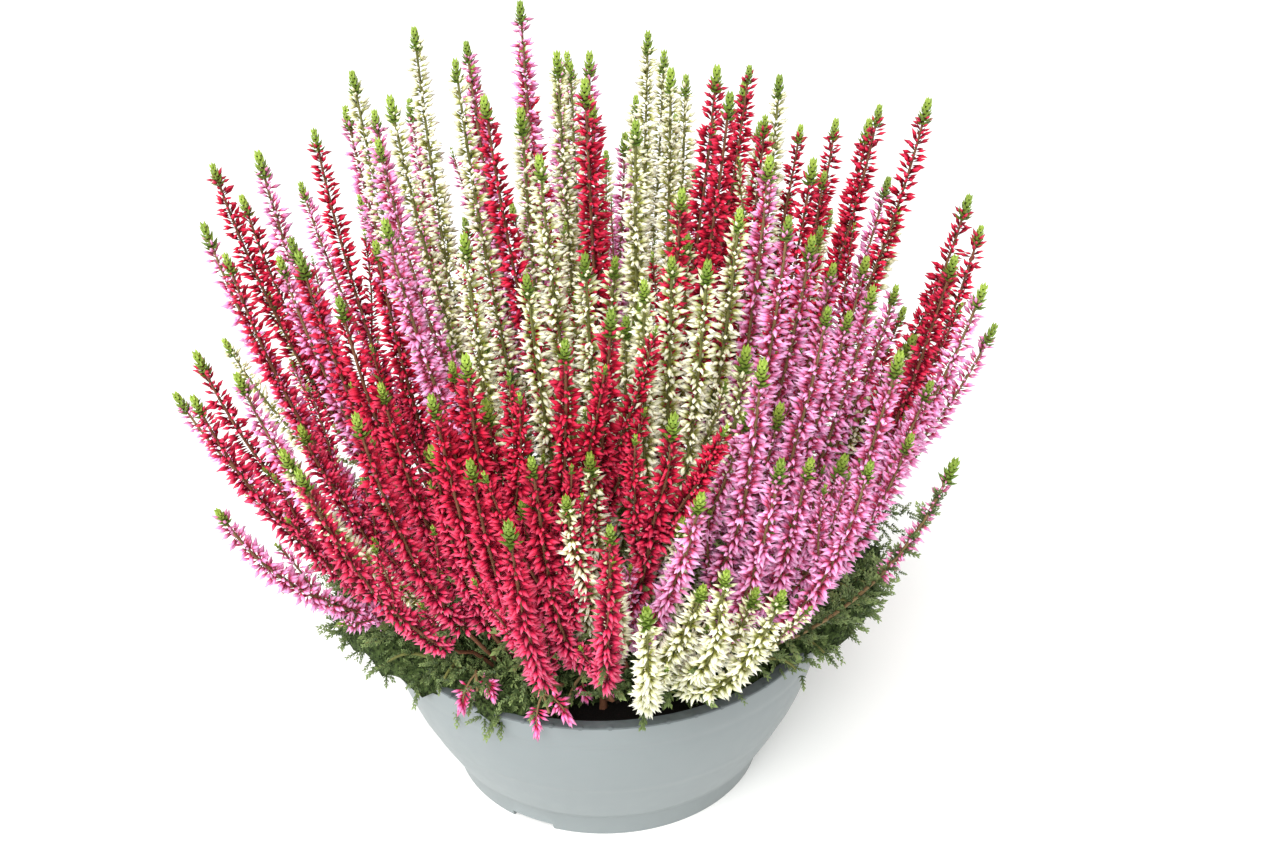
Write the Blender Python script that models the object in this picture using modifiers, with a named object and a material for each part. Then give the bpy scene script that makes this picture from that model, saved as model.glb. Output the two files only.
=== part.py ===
"""Potted heather: a low round bowl filled with soil, from which woody sprays rise and fork
into flower spikes in crimson, lilac-pink and white, with green leafy sprays over the rim."""
import math

import bmesh
import bpy
import numpy as np
from mathutils import Matrix

OBJECT_NAME = "potted_heather"

# Pot, in metres
POT_RADIUS = 0.115
POT_HEIGHT = 0.092
POT_SIDES = 36
WALL = 0.0025
LIP_WIDTH = 0.0063
LIP_DEPTH = 0.004
LIP_SLOPE = 0.0012
WALL_HEIGHTS = (0.071, 0.050, 0.032)
FOOT_HEIGHT = 0.0152
FOOT_TOP_RADIUS = 0.0871
FOOT_BLEND = 0.0004
FOOT_BASE_RADIUS = 0.0829
WALL_END = 0.086
WALL_DROP = 0.0265
WALL_BEND = 1.6
FLOOR = 0.006
FLOOR_RADIUS = 0.077
EDGE = 0.0008
NOTCHES = 3
NOTCH_TURN = math.radians(-117)
NOTCH_WIDTH = 0.0235
NOTCH_HEIGHT = 0.004
NOTCH_REACH = 0.0165
DRAIN_RADIUS = 0.003
DRAIN_SIDES = 10
DRAIN_PLACE = 0.0725

# Soil and the plain holes that the stems stand in
GAP = 0.0003
SOIL_TOP = 0.082
HOLE_RADIUS = 0.0062
HOLE_DEPTH = 0.012
SLANT = 1.4

# Crown: the rounded outside that the spike tips reach
CROWN_CENTRE = np.array((0.0, 0.004, 0.140))
CROWN_REACH = np.array((0.215, 0.215, 0.238))
CROWN_POWER = 2.5
CROWN_LEAST = 0.74

# Woody feet, stems and flower spikes
ROOT_SHARE = 0.43
ROOT_MOST = 0.085
ROOT_ROOM = 0.0210
FOOT_ROUNDS = 200
FOOT_PUSH = 0.3
STUB_RADIUS = 0.0026
STEM_BENDS = 2
FOOT_ROOM = 0.0014
FORK_LOW = 0.0035
FORK_STEP = 0.0034
STEM_RADIUS = 0.0013
STEM_GIRTH = 0.0027
STEM_GAP = 0.0020
SPIKE_RADIUS = 0.0072
SPIKE_TIP_RADIUS = 0.0034
SPIKE_VALLEY = 0.42
SPIKE_RING_STEP = 0.030
SWELL_START = 0.6
SWELL_END = 0.25
TAPER = 1.3
RELIEF_FIRST = 0.02
RELIEF_LAST = 0.92
MOST_RINGS = 5
SPIKE_START = 0.36
LOW_SPIKE_START = 0.22
LOW_TIP = 0.23
OUTWARD_BOW = 0.27
SAG = 0.10
SPIKES_PER_SPRAY = 4.0
SPIKES_MOST = 4
TIP_ROOM = 0.030
HIDDEN_ROOM = 0.0265
HIDDEN_TRIES = 260
SEED = 7
LOWEST_TIP = 0.15
LOWEST_HIDDEN = 0.19
HIDDEN_LEAST = 0.9
FRONT_END = 0.02
NEAR = 0.035
ROUNDS = 120
FORK_SHARE = 0.07
HOLD_FREE = 0.02
HOLD_RISE = 0.08
TIP_HOLD = 0.55
PUSH = 0.6
LIFT = 0.5
OVERSHOOT = 1.3
FLATTER = np.array((1.0, 1.0, 0.25))
SOIL_ROOM = 0.0015
LIP_ROOM = 0.001
LIP_FROM = 0.096
LIP_RUN = 0.008

# Leafy sprays that fill the foot of the plant and spill over the rim
LEAFY_SPRAYS = 12
LEAFY_START = math.radians(-52)
LEAFY_SWEEP = math.radians(278)
LEAFY_ROOT = 0.099
LEAFY_CREST = 0.014
LEAFY_TURNS = (0.0, -0.145, 0.145)
LEAFY_BEGIN = 0.42
LEAFY_REACH = 0.121
LEAFY_SIDE_REACH = 0.020
LEAFY_RADIUS = 0.0056
LEAFY_TIP_RADIUS = 0.0036
LEAFY_HEIGHT = 0.103
LEAFY_RISE = 0.006
LEAFY_TOP = 0.022

# Small nodding sprigs at the rim
SPRIG_RADIUS = 0.0062
SPRIG_HEIGHT = 0.1015
SPRIG_ROOT = 0.099
SPRIG_TURN = 0.16
SPRIG_CREST = 0.022
SPRIG_BEGIN = 0.45
SPRIG_TIP_RADIUS = 0.004

# Where the photograph was taken from, in metres and degrees
VIEW_PLACE = np.array((0.0196, -0.6707, 0.5260))
VIEW_TILT = math.radians(26.55)
VIEW_ROLL = math.radians(-0.64)
VIEW_FOCAL = 1492.0
VIEW_CENTRE = (640.0, 426.5)
HIGH_ROW = 230
SIGHT_STEPS = (0.30, 1.10, 0.004)

# Tips of the spikes that the photograph shows, as across and down in it, by colour
CRIMSON_TIPS = (
    (212, 164), (225, 254), (242, 197), (300, 257), (314, 131), (339, 299), (375, 240),
    (415, 190), (465, 220), (484, 98), (512, 206), (585, 83), (592, 103), (611, 313),
    (565, 341), (717, 69), (730, 96), (744, 87), (694, 167), (736, 176), (708, 220),
    (682, 190), (801, 125), (813, 163), (825, 170), (836, 121), (880, 105), (928, 103),
    (789, 193), (968, 199), (982, 225), (954, 260), (197, 355), (193, 397), (380, 382),
    (356, 416), (300, 425), (299, 472), (432, 449), (448, 447), (470, 462), (483, 408),
    (451, 360), (465, 357), (431, 396), (521, 500), (509, 527), (531, 456), (610, 525),
    (674, 418))
PINK_TIPS = (
    (520, 3), (567, 54), (557, 84), (555, 148), (466, 42), (625, 138), (346, 110),
    (374, 110), (377, 138), (410, 103), (259, 157), (301, 184), (205, 228), (292, 242),
    (279, 257), (360, 196), (385, 222), (619, 221), (713, 122), (770, 158), (888, 180),
    (812, 239), (845, 223), (789, 217), (834, 263), (866, 260), (873, 288), (897, 284),
    (829, 305), (850, 311), (763, 364), (750, 411), (780, 408), (781, 462), (771, 518),
    (811, 460), (846, 459), (871, 462), (912, 434), (930, 352), (931, 382), (950, 368),
    (899, 357), (983, 288), (954, 464), (701, 496), (177, 396), (237, 375), (216, 508))
WHITE_TIPS = (
    (414, 29), (455, 60), (352, 73), (390, 99), (464, 236), (483, 339), (648, 34),
    (664, 54), (671, 71), (686, 75), (636, 95), (636, 121), (647, 137), (676, 114),
    (539, 158), (521, 113), (606, 152), (740, 209), (760, 125), (773, 131), (687, 237),
    (672, 255), (708, 261), (644, 278), (585, 256), (617, 257), (526, 274), (642, 306),
    (626, 317), (746, 352), (831, 210), (821, 226), (900, 205), (913, 340), (530, 471),
    (589, 456), (566, 496), (613, 556), (676, 520), (727, 571), (704, 586), (756, 591),
    (783, 592), (647, 612), (284, 454))
SEEN_TIPS = {"crimson": CRIMSON_TIPS, "pink": PINK_TIPS, "white": WHITE_TIPS}
SPRIG_TIPS = ((478, 700), (551, 722), (597, 690))

LINE_POINTS = 25
LEVEL_FIRST = np.array((1.0, 1.0, 0.35))
UP = np.array((0.0, 0.0, 1.0))

COLOURS = {
    "pot": (0.40, 0.45, 0.47),
    "soil": (0.015, 0.012, 0.010),
    "crimson": (0.55, 0.010, 0.045),
    "pink": (0.72, 0.20, 0.50),
    "white": (0.86, 0.85, 0.68),
    "leafy": (0.045, 0.105, 0.030),
}
ROUGHNESS = {"pot": 0.45, "soil": 0.95}


def sight_line(across, down):
    """The unit direction from the viewpoint through one point of the photograph."""
    ahead = np.array((0.0, math.cos(VIEW_TILT), -math.sin(VIEW_TILT)))
    above = np.array((0.0, math.sin(VIEW_TILT), math.cos(VIEW_TILT)))
    right = np.array((1.0, 0.0, 0.0))
    side = math.cos(VIEW_ROLL) * right + math.sin(VIEW_ROLL) * above
    lift = math.cos(VIEW_ROLL) * above - math.sin(VIEW_ROLL) * right
    line = ahead + (across - VIEW_CENTRE[0]) / VIEW_FOCAL * side
    line = line - (down - VIEW_CENTRE[1]) / VIEW_FOCAL * lift
    return line / np.linalg.norm(line)


def crown_share(points):
    """How far out each point lies in the crown: 0 at its centre and 1 on its outside."""
    local = (points - CROWN_CENTRE) / CROWN_REACH
    level = np.hypot(local[..., 0], local[..., 1])
    total = level ** CROWN_POWER + np.abs(local[..., 2]) ** CROWN_POWER
    return total ** (1 / CROWN_POWER)


def places_on_line(spot):
    """Every place on a tip's sight line that lies in the outer part of the crown."""
    steps = np.arange(*SIGHT_STEPS)
    points = VIEW_PLACE + steps[:, None] * sight_line(*spot)
    share = crown_share(points)
    inside = (share <= 1) & (share >= CROWN_LEAST) & (points[:, 2] > LOWEST_TIP)
    if spot[1] > HIGH_ROW:
        inside &= points[:, 1] < FRONT_END
    if not inside.any():
        nearest = np.argmin(share + 9 * (points[:, 2] < LOWEST_TIP))
        return points[nearest:nearest + 1], share[nearest:nearest + 1]
    return points[inside], share[inside]


def room(points, taken):
    """The distance from each point to the nearest taken one, mostly as seen from above."""
    if not len(taken):
        return np.full(len(points), 1.0)
    apart = (points[:, None] - np.array(taken)[None]) * LEVEL_FIRST
    return np.sqrt((apart ** 2).sum(-1)).min(1)


def seen_tips():
    """The tips of the spikes that the photograph shows, spread out along their sight lines."""
    spots = [(colour, spot) for colour, tips in SEEN_TIPS.items() for spot in tips]
    places = [places_on_line(spot) for colour, spot in spots]

    def turn(index):
        down = spots[index][1][1]
        return len(places[index][0]) > 3, -down if down > HIGH_ROW else down

    chosen = {}
    for index in sorted(range(len(spots)), key=turn):
        points, share = places[index]
        score = np.minimum(room(points, list(chosen.values())), TIP_ROOM) + 0.05 * share
        chosen[index] = points[np.argmax(score)]
    return [(spots[index][0], chosen[index]) for index in range(len(spots))]


def hidden_tips(taken):
    """Tips on the far side, where the seen ones leave room, in a sunflower spiral."""
    draw = np.random.default_rng(SEED)
    golden = math.pi * (3 - math.sqrt(5))
    taken = list(taken)
    tips = []
    for number in range(HIDDEN_TRIES):
        height = 1 - (number + 0.5) / HIDDEN_TRIES
        level = math.sqrt(1 - height * height)
        ray = np.array((level * math.cos(golden * number), level * math.sin(golden * number), height))
        ray /= (level ** CROWN_POWER + height ** CROWN_POWER) ** (1 / CROWN_POWER)
        point = CROWN_CENTRE + CROWN_REACH * ray * draw.uniform(HIDDEN_LEAST, 1.0)
        colour = list(SEEN_TIPS)[draw.integers(3)]
        if point[1] < 0 or point[2] < LOWEST_HIDDEN or room(point[None], taken)[0] < HIDDEN_ROOM:
            continue
        taken.append(point)
        tips.append((colour, point))
    return tips


def split(points, count):
    """Parts a set of tips into that many close groups, halving across its longer side."""
    if count == 1:
        return [points]
    axis = int(np.argmax(np.ptp(np.array(points)[:, :2], axis=0)))
    ranked = sorted(points, key=lambda point: point[axis])
    first = count // 2
    cut = round(len(points) * first / count)
    return split(ranked[:cut], first) + split(ranked[cut:], count - first)


def sprays():
    """The flowering sprays as (name, tips): tips of one colour that share a woody foot."""
    tips = seen_tips()
    tips += hidden_tips([point for colour, point in tips])
    found = []
    for colour in SEEN_TIPS:
        own = [tuple(point) for name, point in tips if name == colour]
        groups = split(own, round(len(own) / SPIKES_PER_SPRAY))
        groups.sort(key=lambda group: math.atan2(*np.mean(group, axis=0)[1::-1]))
        for number, group in enumerate(groups, 1):
            found.append((f"spray_{colour}_{number:02d}", np.array(group)))
    return found


def kept_apart(feet):
    """Moves feet that stand closer than their room apart, within the soil."""
    feet = feet.copy()
    for _ in range(FOOT_ROUNDS):
        gap = feet[:, None] - feet[None]
        span = np.hypot(gap[..., 0], gap[..., 1]) + np.eye(len(feet))
        push = np.clip(ROOT_ROOM - span, 0, None) / span
        feet += FOOT_PUSH * (gap * push[..., None]).sum(1)
        feet *= np.minimum(1, ROOT_MOST / np.hypot(feet[:, 0], feet[:, 1]))[:, None]
    return feet


def arch(start, middle, end):
    """Points along the smooth bow from start to end that middle draws out."""
    share = np.linspace(0, 1, LINE_POINTS)[:, None]
    return (1 - share) ** 2 * start + 2 * share * (1 - share) * middle + share ** 2 * end


def bow(start, end):
    """A stem's line from start to end: it leans out first and then rises more steeply."""
    run = end - start
    level = np.array((run[0], run[1], 0.0))
    middle = start + 0.5 * run + OUTWARD_BOW * level - SAG * np.linalg.norm(level) * UP
    return arch(start, middle, end)


def spike_start(tip):
    """How far up its line a spike's flowers begin: low spikes flower almost from the soil."""
    rise = min(1.0, max(0.0, (tip[2] - LOWEST_TIP) / (LOW_TIP - LOWEST_TIP)))
    return LOW_SPIKE_START + rise * (SPIKE_START - LOW_SPIKE_START)


def fullness(along, radius, tip_radius):
    """How far the florets reach at a share of the spike: fullest low down, slim at the tip."""
    swell = SWELL_START + (1 - SWELL_START) * np.minimum(1, along / SWELL_END)
    return (radius + (tip_radius - radius) * along ** TAPER) * swell


def girth(begin, radius, tip_radius):
    """The radius that a stem and the relief it carries take up along its line."""
    share = np.linspace(0, 1, LINE_POINTS)
    along = np.clip((share - begin) / (1 - begin), 0, 1)
    return np.where(share < begin - 0.02, STEM_GIRTH, fullness(along, radius, tip_radius))


def stem(name, line, begin, radius, tip_radius):
    """One stem with all that the shapes need, as a plain record."""
    return {"name": name, "line": line, "begin": begin, "radius": radius,
            "tip_radius": tip_radius, "girth": girth(begin, radius, tip_radius)}


def forks(name, foot, ends, middles, begins, radius, tip_radius):
    """The stems of one spray: the first goes on from the woody foot, the others fork below."""
    stems = []
    for rank, (end, middle, begin) in enumerate(zip(ends, middles, begins)):
        step = len(ends) - 1 if rank == 0 else rank - 0.4
        height = FORK_LOW + FORK_STEP * step
        start = np.array((foot[0], foot[1], SOIL_TOP + height))
        line = bow(start, end) if middle is None else arch(start, middle, end)
        stems.append(stem(name, line, begin, radius, tip_radius))
    return stems


def flowering_stems():
    """Every flowering stem, with each spray's foot drawn in towards the middle of the soil."""
    groups = sprays()
    feet = kept_apart(np.array([tips[:, :2].mean(0) for name, tips in groups]) * ROOT_SHARE)
    stems = []
    for (name, tips), foot in zip(groups, feet):
        leans = [math.dist(tip[:2], foot) / tip[2] for tip in tips]
        ranked = [tips[index] for index in np.argsort(leans)]
        ends = ranked[:1] + ranked[:0:-1]
        begins = [spike_start(tip) for tip in ends]
        stems += forks(name, foot, ends, [None] * len(ends), begins, SPIKE_RADIUS, SPIKE_TIP_RADIUS)
    return stems


def leafy_stems():
    """Low shoots round the soil's edge that arch over the rim, further at the two sides.

    In front, where the soil shows, the sprigs take their place.
    """
    stems = []
    for number in range(LEAFY_SPRAYS):
        turn = LEAFY_START + LEAFY_SWEEP * number / (LEAFY_SPRAYS - 1)
        foot = LEAFY_ROOT * np.array((math.cos(turn), math.sin(turn)))
        ends, middles = [], []
        for rank, extra in enumerate(LEAFY_TURNS):
            out = np.array((math.cos(turn + extra), math.sin(turn + extra), 0.0))
            reach = LEAFY_REACH + LEAFY_SIDE_REACH * out[0] ** 2
            height = LEAFY_HEIGHT + LEAFY_RISE * ((number + rank) % 2) + LEAFY_TOP * (rank == 0)
            ends.append(reach * out + height * UP)
            middles.append((LEAFY_ROOT + reach) / 2 * out + (height + LEAFY_CREST) * UP)
        begins = [LEAFY_BEGIN] * len(ends)
        stems += forks(f"leafy_{number + 1:02d}", foot, ends, middles, begins,
                       LEAFY_RADIUS, LEAFY_TIP_RADIUS)
    return stems


def sprig_stems():
    """The three short flower sprigs that nod over the rim in front."""
    stems = []
    for number, spot in enumerate(SPRIG_TIPS, 1):
        line = sight_line(*spot)
        tip = VIEW_PLACE + line * (SPRIG_HEIGHT - VIEW_PLACE[2]) / line[2]
        turn = math.atan2(tip[1], tip[0]) - SPRIG_TURN
        foot = SPRIG_ROOT * np.array((math.cos(turn), math.sin(turn), 0.0))
        middle = (foot + tip) / 2 * (1, 1, 0) + (SPRIG_HEIGHT + SPRIG_CREST) * UP
        stems += forks(f"sprig_pink_{number:02d}", foot, [tip], [middle], [SPRIG_BEGIN],
                       SPRIG_RADIUS, SPRIG_TIP_RADIUS)
    return stems


def least_height(lines, girths):
    """How high each point must lie to clear the soil and the pot's lip."""
    level = np.hypot(lines[..., 0], lines[..., 1])
    rise = np.clip((level - LIP_FROM) / LIP_RUN, 0, 1)
    return SOIL_TOP + SOIL_ROOM + rise * (POT_HEIGHT + LIP_ROOM - SOIL_TOP) + girths


def foot_guards(stems):
    """Upright lines where the woody feet stand, for other sprays' stems to keep clear of."""
    guards = {}
    for each in stems:
        low = each["line"][0] * (1, 1, 0) + SOIL_TOP * UP
        high = low + (FORK_LOW + FORK_STEP * (SPIKES_MOST - 1)) * UP
        guards[each["name"]] = np.linspace(low, high, LINE_POINTS)
    return guards


def spread_apart(stems):
    """Bends stems that would touch clear of each other, with their feet and forks held."""
    guards = foot_guards(stems)
    lines = np.array([each["line"] for each in stems] + list(guards.values()))
    girths = np.array([each["girth"] for each in stems]
                      + [np.full(LINE_POINTS, STUB_RADIUS + FOOT_ROOM)] * len(guards))
    names = np.array([each["name"] for each in stems] + list(guards))
    one, two = np.triu_indices(len(lines), 1)
    near = [np.linalg.norm(lines[a][:, None] - lines[b][None], axis=-1).min() < NEAR
            for a, b in zip(one, two)]
    one, two = one[near], two[near]
    need = girths[one][:, :, None] + girths[two][:, None, :] + STEM_GAP
    share = np.linspace(0, 1, LINE_POINTS)
    low = (share[:, None] < FORK_SHARE) | (share[None, :] < FORK_SHARE)
    same = (names[one] == names[two])[:, None, None]
    need = np.where(same & (low | (two >= len(stems))[:, None, None]), 0, need)
    hold = np.clip((share - HOLD_FREE) / HOLD_RISE, 0, 1) * (1 - TIP_HOLD * share ** 4)
    bends = np.array([each["name"].startswith("spray") for each in stems] + [False] * len(guards))
    for _ in range(ROUNDS):
        gap = lines[one][:, :, None] - lines[two][:, None, :]
        span = np.linalg.norm(gap, axis=-1) + 1e-9
        short = np.clip(need - span, 0, None)
        away = gap * FLATTER * (short / span)[..., None]
        shift = np.zeros_like(lines)
        hits = np.zeros(lines.shape[:2])
        np.add.at(shift, one, away.sum(2))
        np.add.at(shift, two, -away.sum(1))
        np.add.at(hits, one, (short > 0).sum(2))
        np.add.at(hits, two, (short > 0).sum(1))
        shift *= (PUSH / np.maximum(hits, 1))[..., None]
        shift[..., 2] += LIFT * np.clip(least_height(lines, girths) - lines[..., 2], 0, None)
        for _ in range(2):
            inner = (shift[:, :-2] + 2 * shift[:, 1:-1] + shift[:, 2:]) / 4
            shift = np.concatenate((shift[:, :1], inner, shift[:, -1:]), axis=1)
        lines = lines + OVERSHOOT * shift * hold[None, :, None] * bends[:, None, None]
    for each, line in zip(stems, lines):
        each["line"] = line
    return stems


def grown():
    """All stems by spray name, in a fixed order, clear of each other."""
    plant = {}
    for each in spread_apart(flowering_stems() + leafy_stems() + sprig_stems()):
        plant.setdefault(each["name"], []).append(each)
    return plant


def clear_scene():
    for item in list(bpy.data.objects):
        bpy.data.objects.remove(item)


def make_material(name, colour, roughness):
    material = bpy.data.materials.new(name)
    material.use_nodes = True
    shader = material.node_tree.nodes["Principled BSDF"]
    shader.inputs["Base Color"].default_value = (*colour, 1.0)
    shader.inputs["Roughness"].default_value = roughness
    shader.inputs["Metallic"].default_value = 0.0
    return material


def make_object(name, mesh, material, collection):
    item = bpy.data.objects.new(name, mesh)
    item.data.materials.clear()
    item.data.materials.append(material)
    collection.objects.link(item)
    return item


def outer_radius(height):
    """The pot wall's outer radius: upright under the rim, curving in to the foot."""
    drop = max(0.0, (WALL_END - height) / (WALL_END - FOOT_HEIGHT))
    return POT_RADIUS - WALL_DROP * drop ** WALL_BEND


def turned(name, profile, material, collection):
    """A solid of revolution from a profile that starts and ends on the axis."""
    mesh = bpy.data.meshes.new(name)
    mesh.from_pydata([(across, 0.0, up) for across, up in profile],
                     [(index, index + 1) for index in range(len(profile) - 1)], [])
    item = make_object(name, mesh, material, collection)
    screw = item.modifiers.new("turn", "SCREW")
    screw.steps = POT_SIDES
    screw.render_steps = POT_SIDES
    screw.use_merge_vertices = True
    screw.merge_threshold = 0.00005
    screw.use_normal_calculate = False
    screw.use_smooth_shade = True
    return item


def pot_profile():
    """The bowl's section: down the outside, across the base, and up the inside to the lip."""
    outside = [(POT_RADIUS - EDGE, POT_HEIGHT), (POT_RADIUS, POT_HEIGHT - EDGE)]
    outside += [(outer_radius(height), height) for height in WALL_HEIGHTS]
    outside += [(outer_radius(FOOT_HEIGHT + FOOT_BLEND), FOOT_HEIGHT + FOOT_BLEND)]
    outside += [(FOOT_TOP_RADIUS, FOOT_HEIGHT), (FOOT_BASE_RADIUS, EDGE)]
    outside += [(FOOT_BASE_RADIUS - EDGE, 0.0), (0.0, 0.0)]
    inside = [(0.0, FLOOR), (FLOOR_RADIUS, FLOOR)]
    inside += [(outer_radius(height) - WALL, height) for height in reversed(WALL_HEIGHTS)]
    inside += [(POT_RADIUS - WALL, POT_HEIGHT - LIP_DEPTH - LIP_SLOPE)]
    inside += [(POT_RADIUS - LIP_WIDTH, POT_HEIGHT - LIP_DEPTH)]
    inside += [(POT_RADIUS - LIP_WIDTH, POT_HEIGHT)]
    return inside + outside


def soil_profile():
    """The filling: the inside of the bowl up to its own top, a small gap smaller all round."""
    side = GAP * SLANT
    upper = outer_radius(WALL_HEIGHTS[0]) - WALL
    rise = (SOIL_TOP - WALL_HEIGHTS[0]) / (POT_HEIGHT - LIP_DEPTH - LIP_SLOPE - WALL_HEIGHTS[0])
    edge = upper + rise * (POT_RADIUS - WALL - upper)
    profile = [(0.0, SOIL_TOP), (edge - side, SOIL_TOP)]
    profile += [(outer_radius(height) - WALL - side, height) for height in WALL_HEIGHTS]
    return profile + [(FLOOR_RADIUS - side, FLOOR + GAP), (0.0, FLOOR + GAP)]


def cut(item, cutter, cutters):
    """Cuts a cutter's shape out of an item and keeps the cutter as a hidden guide."""
    cutters.objects.link(cutter)
    cutter.hide_render = True
    cutter.display_type = "WIRE"
    boolean = item.modifiers.new("cut", "BOOLEAN")
    boolean.operation = "DIFFERENCE"
    boolean.solver = "EXACT"
    boolean.object = cutter


def prisms(name, places, radius, bottom, top, sides):
    """One cutter made of upright prisms at the given places."""
    shape = bmesh.new()
    for across, back in places:
        middle = Matrix.Translation((across, back, (bottom + top) / 2))
        bmesh.ops.create_cone(shape, cap_ends=True, segments=sides, radius1=radius,
                              radius2=radius, depth=top - bottom, matrix=middle)
    mesh = bpy.data.meshes.new(name)
    shape.to_mesh(mesh)
    shape.free()
    return bpy.data.objects.new(name, mesh)


def notch_cutter():
    """Wide low notches in the foot, each with room behind it for the water to leave by."""
    shape = bmesh.new()
    size = (2 * NOTCH_REACH, NOTCH_WIDTH, 2 * NOTCH_HEIGHT)
    for number in range(NOTCHES):
        turn = Matrix.Rotation(NOTCH_TURN + 2 * math.pi * number / NOTCHES, 4, "Z")
        out = Matrix.Translation((FOOT_BASE_RADIUS, 0.0, 0.0))
        bmesh.ops.create_cube(shape, size=1.0, matrix=turn @ out @ Matrix.Diagonal((*size, 1.0)))
    mesh = bpy.data.meshes.new("foot_notches")
    shape.to_mesh(mesh)
    shape.free()
    return bpy.data.objects.new("foot_notches", mesh)


def make_pot(materials, parts, cutters):
    pot = turned("pot", pot_profile(), materials["pot"], parts)
    cut(pot, notch_cutter(), cutters)
    turns = [NOTCH_TURN + 2 * math.pi * number / NOTCHES for number in range(NOTCHES)]
    places = [(DRAIN_PLACE * math.cos(turn), DRAIN_PLACE * math.sin(turn)) for turn in turns]
    cut(pot, prisms("drain_holes", places, DRAIN_RADIUS, -FLOOR, 2 * FLOOR, DRAIN_SIDES),
        cutters)


def make_soil(plant, materials, parts, cutters):
    soil = turned("soil", soil_profile(), materials["soil"], parts)
    feet = [tuple(stems[0]["line"][0][:2]) for stems in plant.values()]
    holes = prisms("stem_holes", feet, HOLE_RADIUS, SOIL_TOP - HOLE_DEPTH, SOIL_TOP + HOLE_DEPTH, 3)
    cut(soil, holes, cutters)


def crosswise(points, side):
    """Two directions across the line at each point, carried along it without a twist."""
    ahead = np.gradient(points, axis=0)
    ahead /= np.linalg.norm(ahead, axis=1)[:, None]
    pairs = []
    for way in ahead:
        side = side - way * (side @ way)
        side /= np.linalg.norm(side)
        pairs.append((side, np.cross(way, side)))
    return pairs


def most_bent(line, begin, bends):
    """The places below a line's flowers that straight runs between them must not miss."""
    last = int(begin * (LINE_POINTS - 1))
    kept = [0, last]
    for _ in range(bends):
        straight = np.array([np.interp(range(last + 1), kept, line[kept, k]) for k in range(3)]).T
        off = np.linalg.norm(line[:last + 1] - straight, axis=1)
        kept = sorted({*kept, int(np.argmax(off))})
    return kept[1:-1]


def rings_of(each):
    """A stem's rings as (centre, radii), above its first corners and up to its tip."""
    line = each["line"]
    begin = each["begin"]

    def at(share):
        return np.array([np.interp(share * (LINE_POINTS - 1), np.arange(LINE_POINTS), line[:, k])
                         for k in range(3)])

    bends = STEM_BENDS if each["name"].startswith("spray") else 1
    rings = [(line[place], [STEM_RADIUS] * 3) for place in most_bent(line, begin, bends)]
    rings.append((at(begin - 0.02), [STEM_RADIUS] * 3))
    length = np.linalg.norm(np.diff(line, axis=0), axis=1).sum() * (1 - begin)
    count = max(2, min(MOST_RINGS, round(length / SPIKE_RING_STEP)))
    for number in range(count):
        along = RELIEF_FIRST + (RELIEF_LAST - RELIEF_FIRST) * number / (count - 1)
        full = fullness(along, each["radius"], each["tip_radius"])
        radii = [full if (number + k) % 2 == 0 else full * SPIKE_VALLEY for k in range(6)]
        rings.append((at(begin + (1 - begin) * along), radii))
    return rings


def faces_between(low, high, low_out):
    """Triangles that close the side between two rings of corners, given as index lists."""
    count = len(low)
    faces = []
    for k in range(count):
        after = (k + 1) % count
        if len(high) == 2 * count:
            faces += [(low[k], high[2 * k + 1], high[2 * k]), (low[k], low[after], high[2 * k + 1]),
                      (low[after], high[2 * after], high[2 * k + 1])]
        elif low_out[k]:
            faces += [(low[k], low[after], high[k]), (low[after], high[after], high[k])]
        else:
            faces += [(low[k], low[after], high[after]), (low[k], high[after], high[k])]
    return faces


def grow_stem(corners, faces, base, each):
    """Grows a stem from three corners: its florets are a relief of points and valleys."""
    rings = rings_of(each)
    tip = each["line"][-1]
    start = np.mean([corners[index] for index in base], axis=0)
    centres = np.array([start] + [centre for centre, radii in rings] + [tip])
    pairs = crosswise(centres, corners[base[0]] - start)[1:]
    low, low_out = base, [True] * 3
    for (centre, radii), (side, other) in zip(rings, pairs):
        high = list(range(len(corners), len(corners) + len(radii)))
        for k, radius in enumerate(radii):
            turn = 2 * math.pi * k / len(radii)
            corners.append(centre + radius * (math.cos(turn) * side + math.sin(turn) * other))
        faces += faces_between(low, high, low_out)
        low, low_out = high, [radius == max(radii) for radius in radii]
    faces += [(low[k], low[(k + 1) % len(low)], len(corners)) for k in range(len(low))]
    corners.append(tip)


def foot_corners(across, back, toward, count):
    """The three-sided rings of a woody foot, from its hole up past each fork."""
    heights = [SOIL_TOP - HOLE_DEPTH + GAP]
    heights += [SOIL_TOP + FORK_LOW + FORK_STEP * rank for rank in range(count)]
    turns = [toward + 2 * math.pi * k / 3 for k in range(3)]
    return [np.array((across + STUB_RADIUS * math.cos(turn), back + STUB_RADIUS * math.sin(turn),
                      height)) for height in heights for turn in turns]


def fork_side(fork, toward):
    """Which of the foot's three sides a fork leaves by."""
    way = fork["line"][5] - fork["line"][0]
    third = 2 * math.pi / 3
    return int((math.atan2(way[1], way[0]) - toward) // third) % 3


def make_spray(name, stems, material, parts):
    """One body: a woody foot in its hole, stems that fork from its sides, and one on its top."""
    across, back = stems[0]["line"][0][:2]
    toward = math.atan2(back, across)
    corners = foot_corners(across, back, toward, len(stems))
    rows = [list(range(first, first + 3)) for first in range(0, len(corners), 3)]
    faces = [tuple(reversed(rows[0]))] + faces_between(rows[0], rows[1], [True] * 3)
    for low, high, fork in zip(rows[1:], rows[2:], stems[1:]):
        band = faces_between(low, high, [True] * 3)
        base = band.pop(2 * fork_side(fork, toward) + 1)
        faces += band
        grow_stem(corners, faces, list(base), fork)
    grow_stem(corners, faces, rows[-1], stems[0])
    mesh = bpy.data.meshes.new(name)
    mesh.from_pydata([tuple(corner) for corner in corners], [], faces)
    fuse_crossings(make_object(name, mesh, material, parts))


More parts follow.
